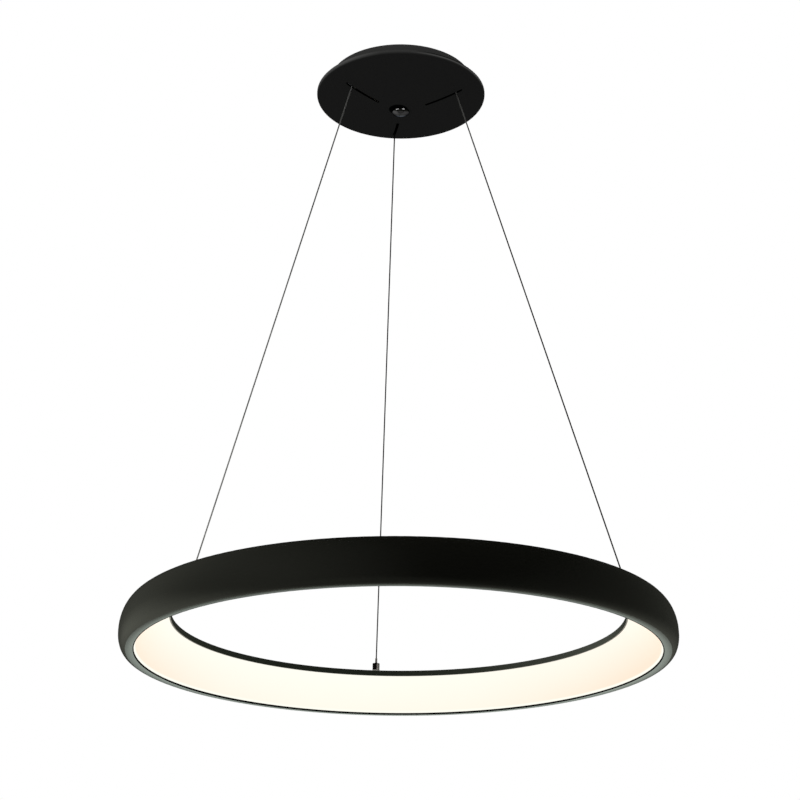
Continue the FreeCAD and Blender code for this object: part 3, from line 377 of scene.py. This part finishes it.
def stock(name, color, second, rough, scale=300.0, bump=0.00002, metallic=0.0, spread=0.1):
    """A moulded plastic, rubber or lacquer."""
    values = {
        "Color": color,
        "Second Color": second,
        "Mix": 1.0,
        "Scale": scale,
        "Roughness": rough,
        "Roughness Spread": spread,
        "Bump": bump,
    }
    return grouped_material(name, SPECKLE, values, metallic, 0.5)


def metal(name, color, second, rough, scale, bump=0.00002, spread=0.1):
    """A bare or plated metal."""
    return stock(name, color, second, rough, scale, bump, metallic=1.0, spread=spread)


def tinted(material, share, color):
    """Mixes another colour over a finish's own, by a share."""
    tree = material.node_tree
    base = tree.nodes["Principled BSDF"].inputs["Base Color"]
    tree.links.new(blend(tree, share, base.links[0].from_socket, color), base)


def leaning(material, height):
    """Leans a finish's normal down the slope of a height, on top of the finish's own grain."""
    tree = material.node_tree
    normal = tree.nodes["Principled BSDF"].inputs["Normal"]
    tree.links.new(bumped(tree, height, normal.links[0].from_socket), normal)


# Finishes

def opal_material():
    """Lit opal acrylic. It glows warm white, and drifts to peach low on the cone and at its ends along X.
    With s the cube of |x| / rim radius, and low falling from one to zero over PEACH_HEIGHTS, the share of
    peach is low * (0.22 + 0.6 s) + 0.15 s, plus 0.2 x / rim radius on the +X side and a faint cloud. The
    outermost 1 mm stays warm white."""
    material, tree, shader = new_material("lit_opal")
    warm_white, peach = rgb(1.0, 0.985, 0.885), rgb(1.0, 0.80, 0.64)
    place = object_place(tree)
    parts = split(tree, place)
    low = minus(tree, 1.0, ramp(tree, parts["Z"], *(RING_BASE + over for over in PEACH_HEIGHTS)))
    across = math_node(tree, "DIVIDE", parts["X"], RIM_RADIUS)
    ends = math_node(tree, "POWER", math_node(tree, "ABSOLUTE", across), 3.0)
    share = times(tree, low, plus(tree, times(tree, ends, 0.6), 0.22))
    share = plus(tree, share, times(tree, ends, 0.15))
    share = plus(tree, share, times(tree, math_node(tree, "MAXIMUM", across, 0.0), 0.20))
    cloud = minus(tree, noise(tree, place, 9.0, 2.0), 0.5)
    share = plus(tree, share, times(tree, cloud, 0.08), clamp=True)
    radius = plan_distance(tree, parts)
    share = times(tree, share, ramp(tree, radius, *(RIM_RADIUS - inset for inset in WHITE_EDGE)))
    tree.links.new(blend(tree, share, warm_white, peach), shader.inputs["Emission Color"])
    preset(shader, {
        "Base Color": rgb(0.06, 0.06, 0.056),
        "Roughness": 0.55,
        "Specular IOR Level": 0.2,
        "Emission Strength": 0.98,
    })
    return material


def wire_material(name="rope_steel", low=0.3, high=0.3, top=0.3):
    """Steel rope: grey strands with painted shade in the grooves between them, from the wire's own strand
    map.
    The grey, which holds painted light and shade, is given for the wire's lower end, for just under the
    canopy and for what stands before the canopy."""
    material, tree, shader = new_material(name)
    strands = tree.nodes.new("ShaderNodeUVMap")
    strands.uv_map = "strands"
    turn = times(tree, split(tree, strands.outputs["UV"])["X"], 2 * math.pi)
    # Painted shade in the grooves between the strands
    groove = math_node(tree, "MULTIPLY_ADD", math_node(tree, "SINE", turn), 0.25, 0.7)
    place = object_place(tree)
    level = split(tree, place)["Z"]
    cloud = noise(tree, place, 60.0, 3.0)
    share = times(tree, groove, plus(tree, cloud, 0.5))
    # Painted light and shade: the wire's grey changes with height, set per wire
    climb = times(tree, ramp(tree, level, *GREY_CLIMB), high - low)
    crest = times(tree, ramp(tree, level, *GREY_TOP), top - high)
    grey = times(tree, plus(tree, plus(tree, climb, low), crest), share)
    tone = tree.nodes.new("ShaderNodeCombineColor")
    for socket in tone.inputs[:3]:
        tree.links.new(grey, socket)
    tree.links.new(tone.outputs["Color"], shader.inputs["Base Color"])
    tree.links.new(math_node(tree, "MULTIPLY_ADD", cloud, 0.2, 0.35), shader.inputs["Roughness"])
    shader.inputs["Metallic"].default_value = 0.7
    return material


def rim_shadow_gap(tree, parts, radius):
    """The mask of a painted shadow gap on the rim's narrow edge beside the cone: one there, and zero
    elsewhere.
    It runs from 1 mm inside the rim to EDGE_WIDTH outside it, which EDGE_GAIN widens towards +Y, and from
    the base up to EDGE_HEIGHT."""
    gain = times(tree, ramp(tree, parts["Y"], *EDGE_GAIN_Y), EDGE_GAIN)
    outer, top = RIM_RADIUS + EDGE_WIDTH, RING_BASE + EDGE_HEIGHT
    beyond = ramp(tree, minus(tree, radius, gain), outer, outer + EDGE_BLURS[0])
    above = ramp(tree, parts["Z"], top, top + EDGE_BLURS[1])
    inside = ramp(tree, radius, *(RIM_RADIUS - inset for inset in EDGE_INSETS))
    return minus(tree, inside, math_node(tree, "MAXIMUM", beyond, above), clamp=True)


def underside_roll(tree, parts, radius):
    """A height whose slope leans the underside's normals. The slope grows evenly outwards from the rim, to
    UNDERSIDE_LEAN at UNDERSIDE_WIDTH, and is gone UNDERSIDE_FADE further out, where the height is zero."""
    turning = RIM_RADIUS + UNDERSIDE_WIDTH
    near = span(tree, radius, RIM_RADIUS, turning)
    far = span(tree, radius, turning, turning + UNDERSIDE_FADE)
    rise = times(tree, times(tree, near, near), -0.5 * UNDERSIDE_LEAN / UNDERSIDE_WIDTH)
    fade = times(tree, times(tree, far, far), 0.5 * UNDERSIDE_LEAN / UNDERSIDE_FADE)
    fade = minus(tree, fade, times(tree, far, UNDERSIDE_LEAN))
    whole = 0.5 * UNDERSIDE_LEAN * (UNDERSIDE_WIDTH + UNDERSIDE_FADE)
    height = plus(tree, plus(tree, rise, fade), whole)
    return times(tree, height, ramp(tree, parts["Z"], *(RING_BASE + over for over in UNDERSIDE_TOP)))


def casing_finish():
    """Satin black coat, with a painted shadow on the rim's edge, made dull there, and painted light on the
    lip, most towards +X.
    """
    material = painted("casing_powder_black", rgb(0.0034, 0.0036, 0.0022), 0.27, 0.02, 0.012, 0.00002)
    tree = material.node_tree
    shader = tree.nodes["Principled BSDF"]
    parts = split(tree, object_place(tree))
    radius = plan_distance(tree, parts)
    # Painted shadow: the gap between the rim and the lit cone, dark bluish and dull
    edge = rim_shadow_gap(tree, parts, radius)
    tinted(material, edge, rgb(0.0010, 0.0024, 0.0034))
    # Painted light: the lip lit by the glowing cone, lighter still towards +X
    lip = ramp(tree, radius, *(LIP_RADIUS + reach for reach in LIP_LIGHT_REACH))
    tinted(material, lip, rgb(0.014, 0.018, 0.012))
    side = times(tree, lip, ramp(tree, parts["X"], *LIP_LIGHT_GAIN_X))
    tinted(material, times(tree, side, 0.6), rgb(0.050, 0.056, 0.046))
    rough = math_node(tree, "MAXIMUM", shader.inputs["Roughness"].links[0].from_socket, edge)
    tree.links.new(rough, shader.inputs["Roughness"])
    tree.links.new(edge, shader.inputs["Metallic"])
    leaning(material, underside_roll(tree, parts, radius))
    return material


def slot_shade(tree, place, azimuth):
    """The mask of painted shade along a slot's edges at an azimuth: one there, and zero elsewhere."""
    turned = tree.nodes.new("ShaderNodeVectorRotate")
    turned.rotation_type = "Z_AXIS"
    preset(turned, {"Angle": -azimuth, "Center": (0.0, SLOT_SHIFT, 0.0)})
    tree.links.new(place, turned.inputs["Vector"])
    parts = split(tree, turned.outputs["Vector"])
    aside = math_node(tree, "ABSOLUTE", minus(tree, parts["Y"], SLOT_SHIFT))
    sideways, lengthways = SLOT_BLURS
    wide = ramp(tree, aside, SLOT_HALF + sideways, SLOT_HALF - sideways)
    start = ramp(tree, parts["X"], SLOT_ENDS[0] - lengthways, SLOT_ENDS[0])
    end = ramp(tree, parts["X"], SLOT_ENDS[1] + lengthways, SLOT_ENDS[1])
    return times(tree, wide, times(tree, start, end))


def canopy_finish():
    """Matte black coat, darkest on the dish, with painted light on the drum and the brim, and a painted
    highlight along the brim's edge towards -X. Towards +X a painted shadow in the crease and a painted
    highlight line run along the brim. Painted shade makes the slots' edges and the dish round the nut
    darkest."""
    material = painted("canopy_powder_black", rgb(0.0112, 0.0112, 0.0113), 0.62, specular=0.0)
    tree = material.node_tree
    place = object_place(tree)
    parts = split(tree, place)
    # Painted light: the drum and the brim lighter than the dish
    brim = ramp(tree, parts["Z"], *BRIM_LIGHT_BAND)
    tinted(material, brim, rgb(0.041, 0.041, 0.041))
    # Painted highlight along the brim's edge towards -X
    left = times(tree, brim, ramp(tree, parts["X"], *LEFT_SIDE))
    left = times(tree, left, ramp(tree, parts["Z"], *BRIM_HIGHLIGHT))
    tinted(material, left, rgb(0.080, 0.080, 0.080))
    right = ramp(tree, parts["X"], *RIGHT_SIDE)
    # Painted shadow in the crease above the brim, towards +X
    crease = times(tree, ramp(tree, parts["Z"], *CREASE_SHADOW_UPPER), ramp(tree, parts["Z"], *CREASE_SHADOW_LOWER))
    tinted(material, times(tree, crease, right), rgb(0.004, 0.004, 0.004))
    # Painted highlight line along the brim, towards +X
    line = times(tree, ramp(tree, parts["Z"], *HIGHLIGHT_LINE_LOWER), ramp(tree, parts["Z"], *HIGHLIGHT_LINE_UPPER))
    tinted(material, times(tree, line, right), rgb(0.075, 0.075, 0.075))
    # Painted shade: the slots' edges darkest
    for azimuth in WIRE_AZIMUTHS:
        tinted(material, slot_shade(tree, place, math.radians(azimuth)), rgb(0.0008, 0.0008, 0.0008))
    # Painted shadow on the dish round the nut
    away = plan_distance(tree, parts, NUT_SHADE_CENTRE)
    tinted(material, ramp(tree, away, *NUT_SHADE_RADII), rgb(0.0012, 0.0012, 0.0012))
    return material


def ferrule_finish():
    """Turned steel with a painted reflection: near black on its side towards -X and bright on the other."""
    material = metal("ferrule_turned_steel", rgb(0.88, 0.87, 0.91), rgb(0.72, 0.71, 0.75), 0.30, 700.0)
    tree = material.node_tree
    # Painted reflection: dark on the side towards -X
    tinted(material, ramp(tree, facing(tree)["X"], *FERRULE_DARK_REFLECTION), rgb(0.010, 0.008, 0.009))
    return material


def dome_finish():
    """Polished black nickel with painted reflections in three tones, parted by Y and by a tilted plane:
    darkest round the near edge, palest next to it, and between the two on the far half. A grey specular tint
    dims its grazing shine."""
    material = metal("dome_black_nickel", rgb(0.135, 0.13, 0.155), rgb(0.11, 0.105, 0.125), 0.09, 900.0,
                     bump=0.000001, spread=0.02)
    tree = material.node_tree
    parts = split(tree, object_place(tree))
    # Painted reflection: a dimmer far half
    tinted(material, ramp(tree, parts["Y"], *NUT_FAR), rgb(0.098, 0.097, 0.106))
    # Painted reflection: darkest beyond a tilted plane round the near edge
    offset = plus(tree, times(tree, parts["Y"], NUT_PLANE[0]), times(tree, parts["Z"], NUT_PLANE[1]))
    tinted(material, ramp(tree, offset, *NUT_PLANE_OFFSETS), rgb(0.036, 0.036, 0.036))
    tree.nodes["Principled BSDF"].inputs["Specular Tint"].default_value = rgb(0.32, 0.32, 0.35)
    return material


FINISHES = {
    "casing_black": casing_finish(),
    "canopy_black": canopy_finish(),
    "dome_black": dome_finish(),
    "opal": opal_material(),
    "wire_steel": wire_material(),
    "ferrule_steel": ferrule_finish(),
    "sleeve_grey": stock("sleeve_grey_plastic", rgb(0.16, 0.15, 0.145), rgb(0.10, 0.095, 0.09), 0.45, 900.0),
    "zinc_plate": metal("zinc_sheet", rgb(0.62, 0.63, 0.65), rgb(0.48, 0.50, 0.53), 0.38, 90.0),
    "stud_zinc": metal("zinc_bolt", rgb(0.60, 0.61, 0.62), rgb(0.45, 0.46, 0.46), 0.32, 400.0),
    "nylon": stock("white_nylon", rgb(0.80, 0.79, 0.74), rgb(0.70, 0.69, 0.64), 0.45, 500.0),
    "grommet_rubber": stock("black_rubber", rgb(0.02, 0.02, 0.02), rgb(0.035, 0.035, 0.034), 0.75, 800.0,
                            bump=0.00005),
    "gripper_nickel": metal("black_nickel", rgb(0.07, 0.07, 0.068), rgb(0.05, 0.05, 0.048), 0.30, 600.0),
    "spring_steel": metal("spring_wire", rgb(0.52, 0.52, 0.53), rgb(0.36, 0.36, 0.38), 0.28, 900.0),
    "driver_case_white": stock("driver_white", rgb(0.76, 0.76, 0.74), rgb(0.68, 0.68, 0.66), 0.5, 250.0,
                               bump=0.00004),
    "circuit_green": stock("circuit_green_lacquer", rgb(0.02, 0.15, 0.06), rgb(0.03, 0.22, 0.09), 0.35,
                           200.0),
    "driver_parts": stock("component_dark", rgb(0.05, 0.05, 0.055), rgb(0.12, 0.11, 0.10), 0.4, 150.0),
    "terminal_cream": stock("terminal_cream", rgb(0.74, 0.69, 0.56), rgb(0.66, 0.61, 0.49), 0.5, 220.0),
    "terminal_brass": metal("plain_brass", rgb(0.72, 0.52, 0.22), rgb(0.55, 0.38, 0.15), 0.28, 350.0),
    "lead_brown": stock("lead_brown", rgb(0.16, 0.07, 0.03), rgb(0.12, 0.05, 0.02), 0.4),
    "lead_red": stock("lead_red", rgb(0.42, 0.03, 0.02), rgb(0.32, 0.02, 0.015), 0.4),
    "lead_earth": stock("lead_green_yellow", rgb(0.25, 0.42, 0.03), rgb(0.75, 0.68, 0.05), 0.4, 120.0),
    "carrier_white": painted("carrier_white_coat", rgb(0.80, 0.80, 0.78), 0.6, dust=0.3),
    "board_white": stock("board_white_lacquer", rgb(0.84, 0.84, 0.82), rgb(0.76, 0.76, 0.74), 0.4),
    "chip_yellow": stock("chip_phosphor", rgb(0.85, 0.62, 0.10), rgb(0.75, 0.50, 0.06), 0.2, 900.0),
    "plug_white": stock("plug_white", rgb(0.78, 0.78, 0.75), rgb(0.70, 0.70, 0.68), 0.5, 400.0),
}


def dress(thing, finish):
    """Gives one finish to the whole of a piece."""
    thing.data.materials.clear()
    thing.data.materials.append(finish)


for entry in frame["record"]["subparts"]:
    dress(nodes[entry["node"]], FINISHES[entry["material_slot"]])


# Suspension wires

def at_azimuth(radius, azimuth, height):
    """The point at a radius, an azimuth in degrees from +X towards +Y, and a height."""
    angle = math.radians(azimuth)
    return (radius * math.cos(angle), radius * math.sin(angle), height)


def tube(name, grid):
    """A closed tube from a grid of points, one row per circle: each four neighbours make a face, and the
    first and the last circle are capped."""
    rows, around = grid.shape[:2]
    steps, turns = np.meshgrid(np.arange(rows - 1), np.arange(around), indexing="ij")
    here, beside = steps * around + turns, steps * around + (turns + 1) % around
    quads = np.stack([here, beside, beside + around, here + around], axis=-1).reshape(-1, 4)
    first, last = list(range(around))[::-1], [(rows - 1) * around + k for k in range(around)]
    mesh = bpy.data.meshes.new(name)
    mesh.from_pydata(grid.reshape(-1, 3).tolist(), [], quads.tolist() + [first, last])
    mesh.polygons.foreach_set("use_smooth", np.ones(len(mesh.polygons), dtype=bool))
    mesh.update()
    thing = bpy.data.objects.new(name, mesh)
    scene.collection.objects.link(thing)
    return thing


def route_line(name, points):
    """Points read from one smooth NURBS line whose control points are the route's."""
    data = bpy.data.curves.new(name, "CURVE")
    data.dimensions = "3D"
    data.resolution_u = 24
    spline = data.splines.new("NURBS")
    spline.points.add(len(points) - 1)
    for point, at in zip(spline.points, points):
        point.co = (*at, 1.0)
    spline.order_u = 3
    spline.use_endpoint_u = True
    holder = bpy.data.objects.new(name, data)
    scene.collection.objects.link(holder)
    bpy.context.view_layer.update()
    mesh = bpy.data.meshes.new_from_object(holder)
    line = np.empty(len(mesh.vertices) * 3)
    mesh.vertices.foreach_get("co", line)
    bpy.data.objects.remove(holder)
    bpy.data.curves.remove(data)
    bpy.data.meshes.remove(mesh)
    return line.reshape(-1, 3)


def even_line(line, step):
    """The same line cut into equal steps of arc length, and the length along it at each point."""
    lengths = np.concatenate([[0.0], np.cumsum(np.linalg.norm(np.diff(line, axis=0), axis=1))])
    count = int(round(lengths[-1] / step)) + 1
    wanted = np.linspace(0.0, lengths[-1], count)
    return np.stack([np.interp(wanted, lengths, line[:, k]) for k in range(3)], axis=1), wanted


def rope(name, line, radius, strands=6, pitch=0.011, around=24):
    """A twisted rope: circles across the line, of the rope's radius times 0.93 + 0.14 |cos(phase / 2)|. The
    phase is strands times the angle round the line less a full turn per pitch of its length, so each strand
    has its crest, with a groove on either side."""
    line, along = even_line(line, pitch / 16)
    tangent = np.gradient(line, along, axis=0)
    tangent /= np.linalg.norm(tangent, axis=1)[:, None]
    level = np.cross(tangent.mean(axis=0), (0.0, 0.0, 1.0))
    first = level / np.linalg.norm(level)
    second = np.cross(tangent, first)
    second /= np.linalg.norm(second, axis=1)[:, None]
    angle = np.linspace(0.0, 2 * math.pi, around, endpoint=False)
    phase = strands * (angle[None, :] - 2 * math.pi * along[:, None] / pitch)
    reach = radius * (0.93 + 0.14 * np.abs(np.cos(phase / 2)))
    circle = np.cos(angle)[None, :, None] * first + np.sin(angle)[None, :, None] * second[:, None, :]
    thing = tube(name, line[:, None, :] + reach[:, :, None] * circle)
    mesh = thing.data
    strand_map = mesh.uv_layers.new(name="strands")
    corner = np.empty(len(mesh.loops), dtype=np.int64)
    mesh.loops.foreach_get("vertex_index", corner)
    uv = np.stack([phase.reshape(-1)[corner] / (2 * math.pi), along[corner // around]], axis=1)
    strand_map.data.foreach_set("uv", uv.reshape(-1))
    return thing, line


def suspension_wires():
    """The three wires from their grippers to their sleeves."""
    for index, azimuth in enumerate(WIRE_AZIMUTHS, start=1):
        points = [at_azimuth(radius, azimuth, height) for radius, height in WIRE_ROUTE]
        line = route_line(f"wire_route_{index}", points)
        wire, path = rope(f"steel_wire_{index}", line, WIRE_DIAMETER / 2)
        dress(wire, wire_material(f"rope_steel_{index}", *WIRE_SHADED_GREYS[index - 1]))
        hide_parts(f"suspension_wire_{index}")
        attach(wire, "canopy_base")
        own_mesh(wire)


suspension_wires()


# Gripper springs

def coil(name, centre, base, height, radius, wire, turns, around=12, steps=36):
    """A helical spring: a circle of the wire's radius swept round a helix whose height grows evenly with its
    turn."""
    turn = np.linspace(0.0, 2 * math.pi * turns, steps * turns + 1)
    outward = np.stack([np.cos(turn), np.sin(turn), np.zeros_like(turn)], axis=1)
    climb = height / (2 * math.pi * turns)
    along = np.stack([-radius * np.sin(turn), radius * np.cos(turn), np.full_like(turn, climb)], axis=1)
    along /= np.linalg.norm(along, axis=1)[:, None]
    across = np.cross(outward, along)
    middle = np.array((*centre, base)) + outward * radius
    middle[:, 2] += climb * turn
    angle = np.linspace(0.0, 2 * math.pi, around, endpoint=False)[None, ::-1, None]
    circle = np.cos(angle) * outward[:, None, :] + np.sin(angle) * across[:, None, :]
    return tube(name, middle[:, None, :] + wire * circle)


def gripper_springs():
    """The three springs over the grippers' plungers."""
    low, high = SPRING_ENDS
    base, height = low + SPRING_WIRE, high - low - 2 * SPRING_WIRE
    for index, azimuth in enumerate(WIRE_AZIMUTHS, start=1):
        anchor = at_azimuth(GRIPPER_RADIUS, azimuth, high)
        name = f"plunger_spring_{index}"
        spring = coil(name, anchor[:2], base, height, SPRING_RADIUS, SPRING_WIRE, SPRING_TURNS)
        dress(spring, FINISHES["spring_steel"])
        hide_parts(f"gripper_spring_{index}")
        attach(spring, "canopy_base")
        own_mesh(spring)


gripper_springs()


# Studio

def studio_floor():
    """A pale floor far below the lamp, whitened for the camera. Glossy rays see the soft room instead."""
    mesh = bpy.data.meshes.new("studio_floor")
    sides = ((-1, -1), (1, -1), (1, 1), (-1, 1))
    corners = [(FLOOR_REACH * x, FLOOR_REACH * y, FLOOR_LEVEL) for x, y in sides]
    mesh.from_pydata(corners, [], [(0, 1, 2, 3)])
    floor = bpy.data.objects.new("studio_floor", mesh)
    scene.collection.objects.link(floor)
    material, tree, shader = new_material("pale_floor")
    preset(shader, {"Base Color": rgb(0.86, 0.86, 0.85), "Roughness": 0.9})
    white = tree.nodes.new("ShaderNodeEmission").outputs["Emission"]
    camera = tree.nodes.new("ShaderNodeLightPath").outputs["Is Camera Ray"]
    surface = mix_shaders(tree, times(tree, camera, FLOOR_WHITE), shader.outputs["BSDF"], white)
    tree.links.new(surface, tree.nodes["Material Output"].inputs["Surface"])
    floor.visible_glossy = False
    mesh.materials.append(material)


def ceiling_shade(name, level, inner, outer, stops_light, steps=96):
    """A flat ring of painted shade that stands for the dark of the ceiling: dark to a camera below it and
    clear to one above. It stops all other light, or lets it pass."""
    mesh = bpy.data.meshes.new(name)
    turn = np.linspace(0.0, 2 * math.pi, steps, endpoint=False)
    rims = [np.stack([np.cos(turn) * reach, np.sin(turn) * reach, np.full(steps, level)], axis=1)
            for reach in (inner, outer)]
    here = np.arange(steps)
    after = (here + 1) % steps
    quads = np.stack([here, after, after + steps, here + steps], axis=1)
    mesh.from_pydata(np.concatenate(rims).tolist(), [], quads.tolist())
    shade = bpy.data.objects.new(name, mesh)
    scene.collection.objects.link(shade)
    material, tree, shader = new_material(f"{name}_dark")
    preset(shader, {"Base Color": rgb(0.02, 0.02, 0.02), "Specular IOR Level": 0.0})
    clear = tree.nodes.new("ShaderNodeBsdfTransparent").outputs["BSDF"]
    camera = tree.nodes.new("ShaderNodeLightPath").outputs["Is Camera Ray"]
    above = tree.nodes.new("ShaderNodeNewGeometry").outputs["Backfacing"]
    passing = times(tree, above, camera)
    if not stops_light:
        passing = plus(tree, passing, minus(tree, 1.0, camera))
    surface = mix_shaders(tree, passing, shader.outputs["BSDF"], clear)
    tree.links.new(surface, tree.nodes["Material Output"].inputs["Surface"])
    mesh.materials.append(material)


def soft_lamp(name, place, target, width, height, watts, mirrored=True):
    """A soft box of a given size and power, aimed at a point, and seen in glossy reflections or not."""
    data = bpy.data.lights.new(name, "AREA")
    data.shape = "RECTANGLE"
    data.size, data.size_y = width, height
    data.energy = watts
    lamp = bpy.data.objects.new(name, data)
    aim = (Vector(target) - Vector(place)).to_track_quat("-Z", "Y")
    lamp.matrix_world = Matrix.Translation(place) @ aim.to_matrix().to_4x4()
    lamp.visible_glossy = mirrored
    scene.collection.objects.link(lamp)
    return lamp


def nut_glints():
    """Two upright strips that light the dome nut alone, for the glints on its near edge."""
    alone = bpy.data.collections.new("nut_alone")
    alone.objects.link(nodes["dome_nut"])
    for name, azimuth, wide, watts in NUT_GLINTS:
        turn = math.radians(azimuth)
        place = (math.sin(turn) * STRIP_DISTANCE, math.cos(turn) * STRIP_DISTANCE, STRIP_LEVEL)
        strip = soft_lamp(name, place, NUT_MIDDLE, wide, STRIP_HEIGHT, watts)
        strip.light_linking.receiver_collection = alone


# The room's soft bright areas in glossy reflections: azimuth from +Y towards +X and elevation in degrees,
# the cosines between which the light rises from none to full, its full strength and its tint
OLIVE, SAGE = (0.97, 1.0, 0.83), (0.87, 1.0, 0.90)
SOFT_AREAS = (
    (-52.0, -24.0, 0.720, 1.040, 0.49, OLIVE),
    (-92.0, -2.0, 0.000, 0.790, 0.26, OLIVE),
    (-158.0, -64.0, 0.810, 1.190, 0.25, OLIVE),
    (68.0, -22.0, 0.200, 1.040, 0.12, OLIVE),
    (24.0, -47.0, 0.540, 1.010, 0.25, OLIVE),
    (6.0, -14.0, 0.950, 0.985, 1.10, SAGE),
)


def towards(tree, way, azimuth, elevation):
    """The cosine between a direction and the one with an azimuth and an elevation in degrees."""
    azimuth, elevation = math.radians(azimuth), math.radians(elevation)
    level = math.cos(elevation)
    dot = tree.nodes.new("ShaderNodeVectorMath")
    dot.operation = "DOT_PRODUCT"
    tree.links.new(way, dot.inputs[0])
    dot.inputs[1].default_value = (math.sin(azimuth) * level, math.cos(azimuth) * level, math.sin(elevation))
    return dot.outputs["Value"]


def soft_room(tree):
    """The sum of the soft areas' light along a glossy ray."""
    way = tree.nodes.new("ShaderNodeTexCoord").outputs["Generated"]
    glow = None
    for azimuth, elevation, low, high, strength, tint in SOFT_AREAS:
        area = tree.nodes.new("ShaderNodeVectorMath")
        area.operation = "MULTIPLY_ADD"
        tree.links.new(ramp(tree, towards(tree, way, azimuth, elevation), low, high), area.inputs[0])
        area.inputs[1].default_value = [strength * part for part in tint]
        if glow:
            tree.links.new(glow, area.inputs[2])
        glow = area.outputs["Vector"]
    return glow


def studio_world():
    """A soft room: even light on the object, dim in glossy reflections, and white to the camera."""
    world = bpy.data.worlds.new("studio_world")
    scene.world = world
    world.use_nodes = True
    tree = world.node_tree
    even = tree.nodes["Background"]
    preset(even, {"Color": rgb(1.0, 1.0, 0.98), "Strength": 0.7})
    dim = tree.nodes.new("ShaderNodeBackground")
    tree.links.new(soft_room(tree), dim.inputs["Color"])
    white = tree.nodes.new("ShaderNodeBackground")
    white.inputs["Color"].default_value = rgb(1.0, 1.0, 1.0)
    rays = tree.nodes.new("ShaderNodeLightPath").outputs
    light = mix_shaders(tree, rays["Is Glossy Ray"], even.outputs["Background"], dim.outputs["Background"])
    seen = mix_shaders(tree, rays["Is Camera Ray"], light, white.outputs["Background"])
    tree.links.new(seen, tree.nodes["World Output"].inputs["Surface"])


studio_floor()
for shade in CEILING_SHADES:
    ceiling_shade(*shade)
studio_world()
nut_glints()
for box in SOFT_BOXES:
    soft_lamp(*box, mirrored=False)
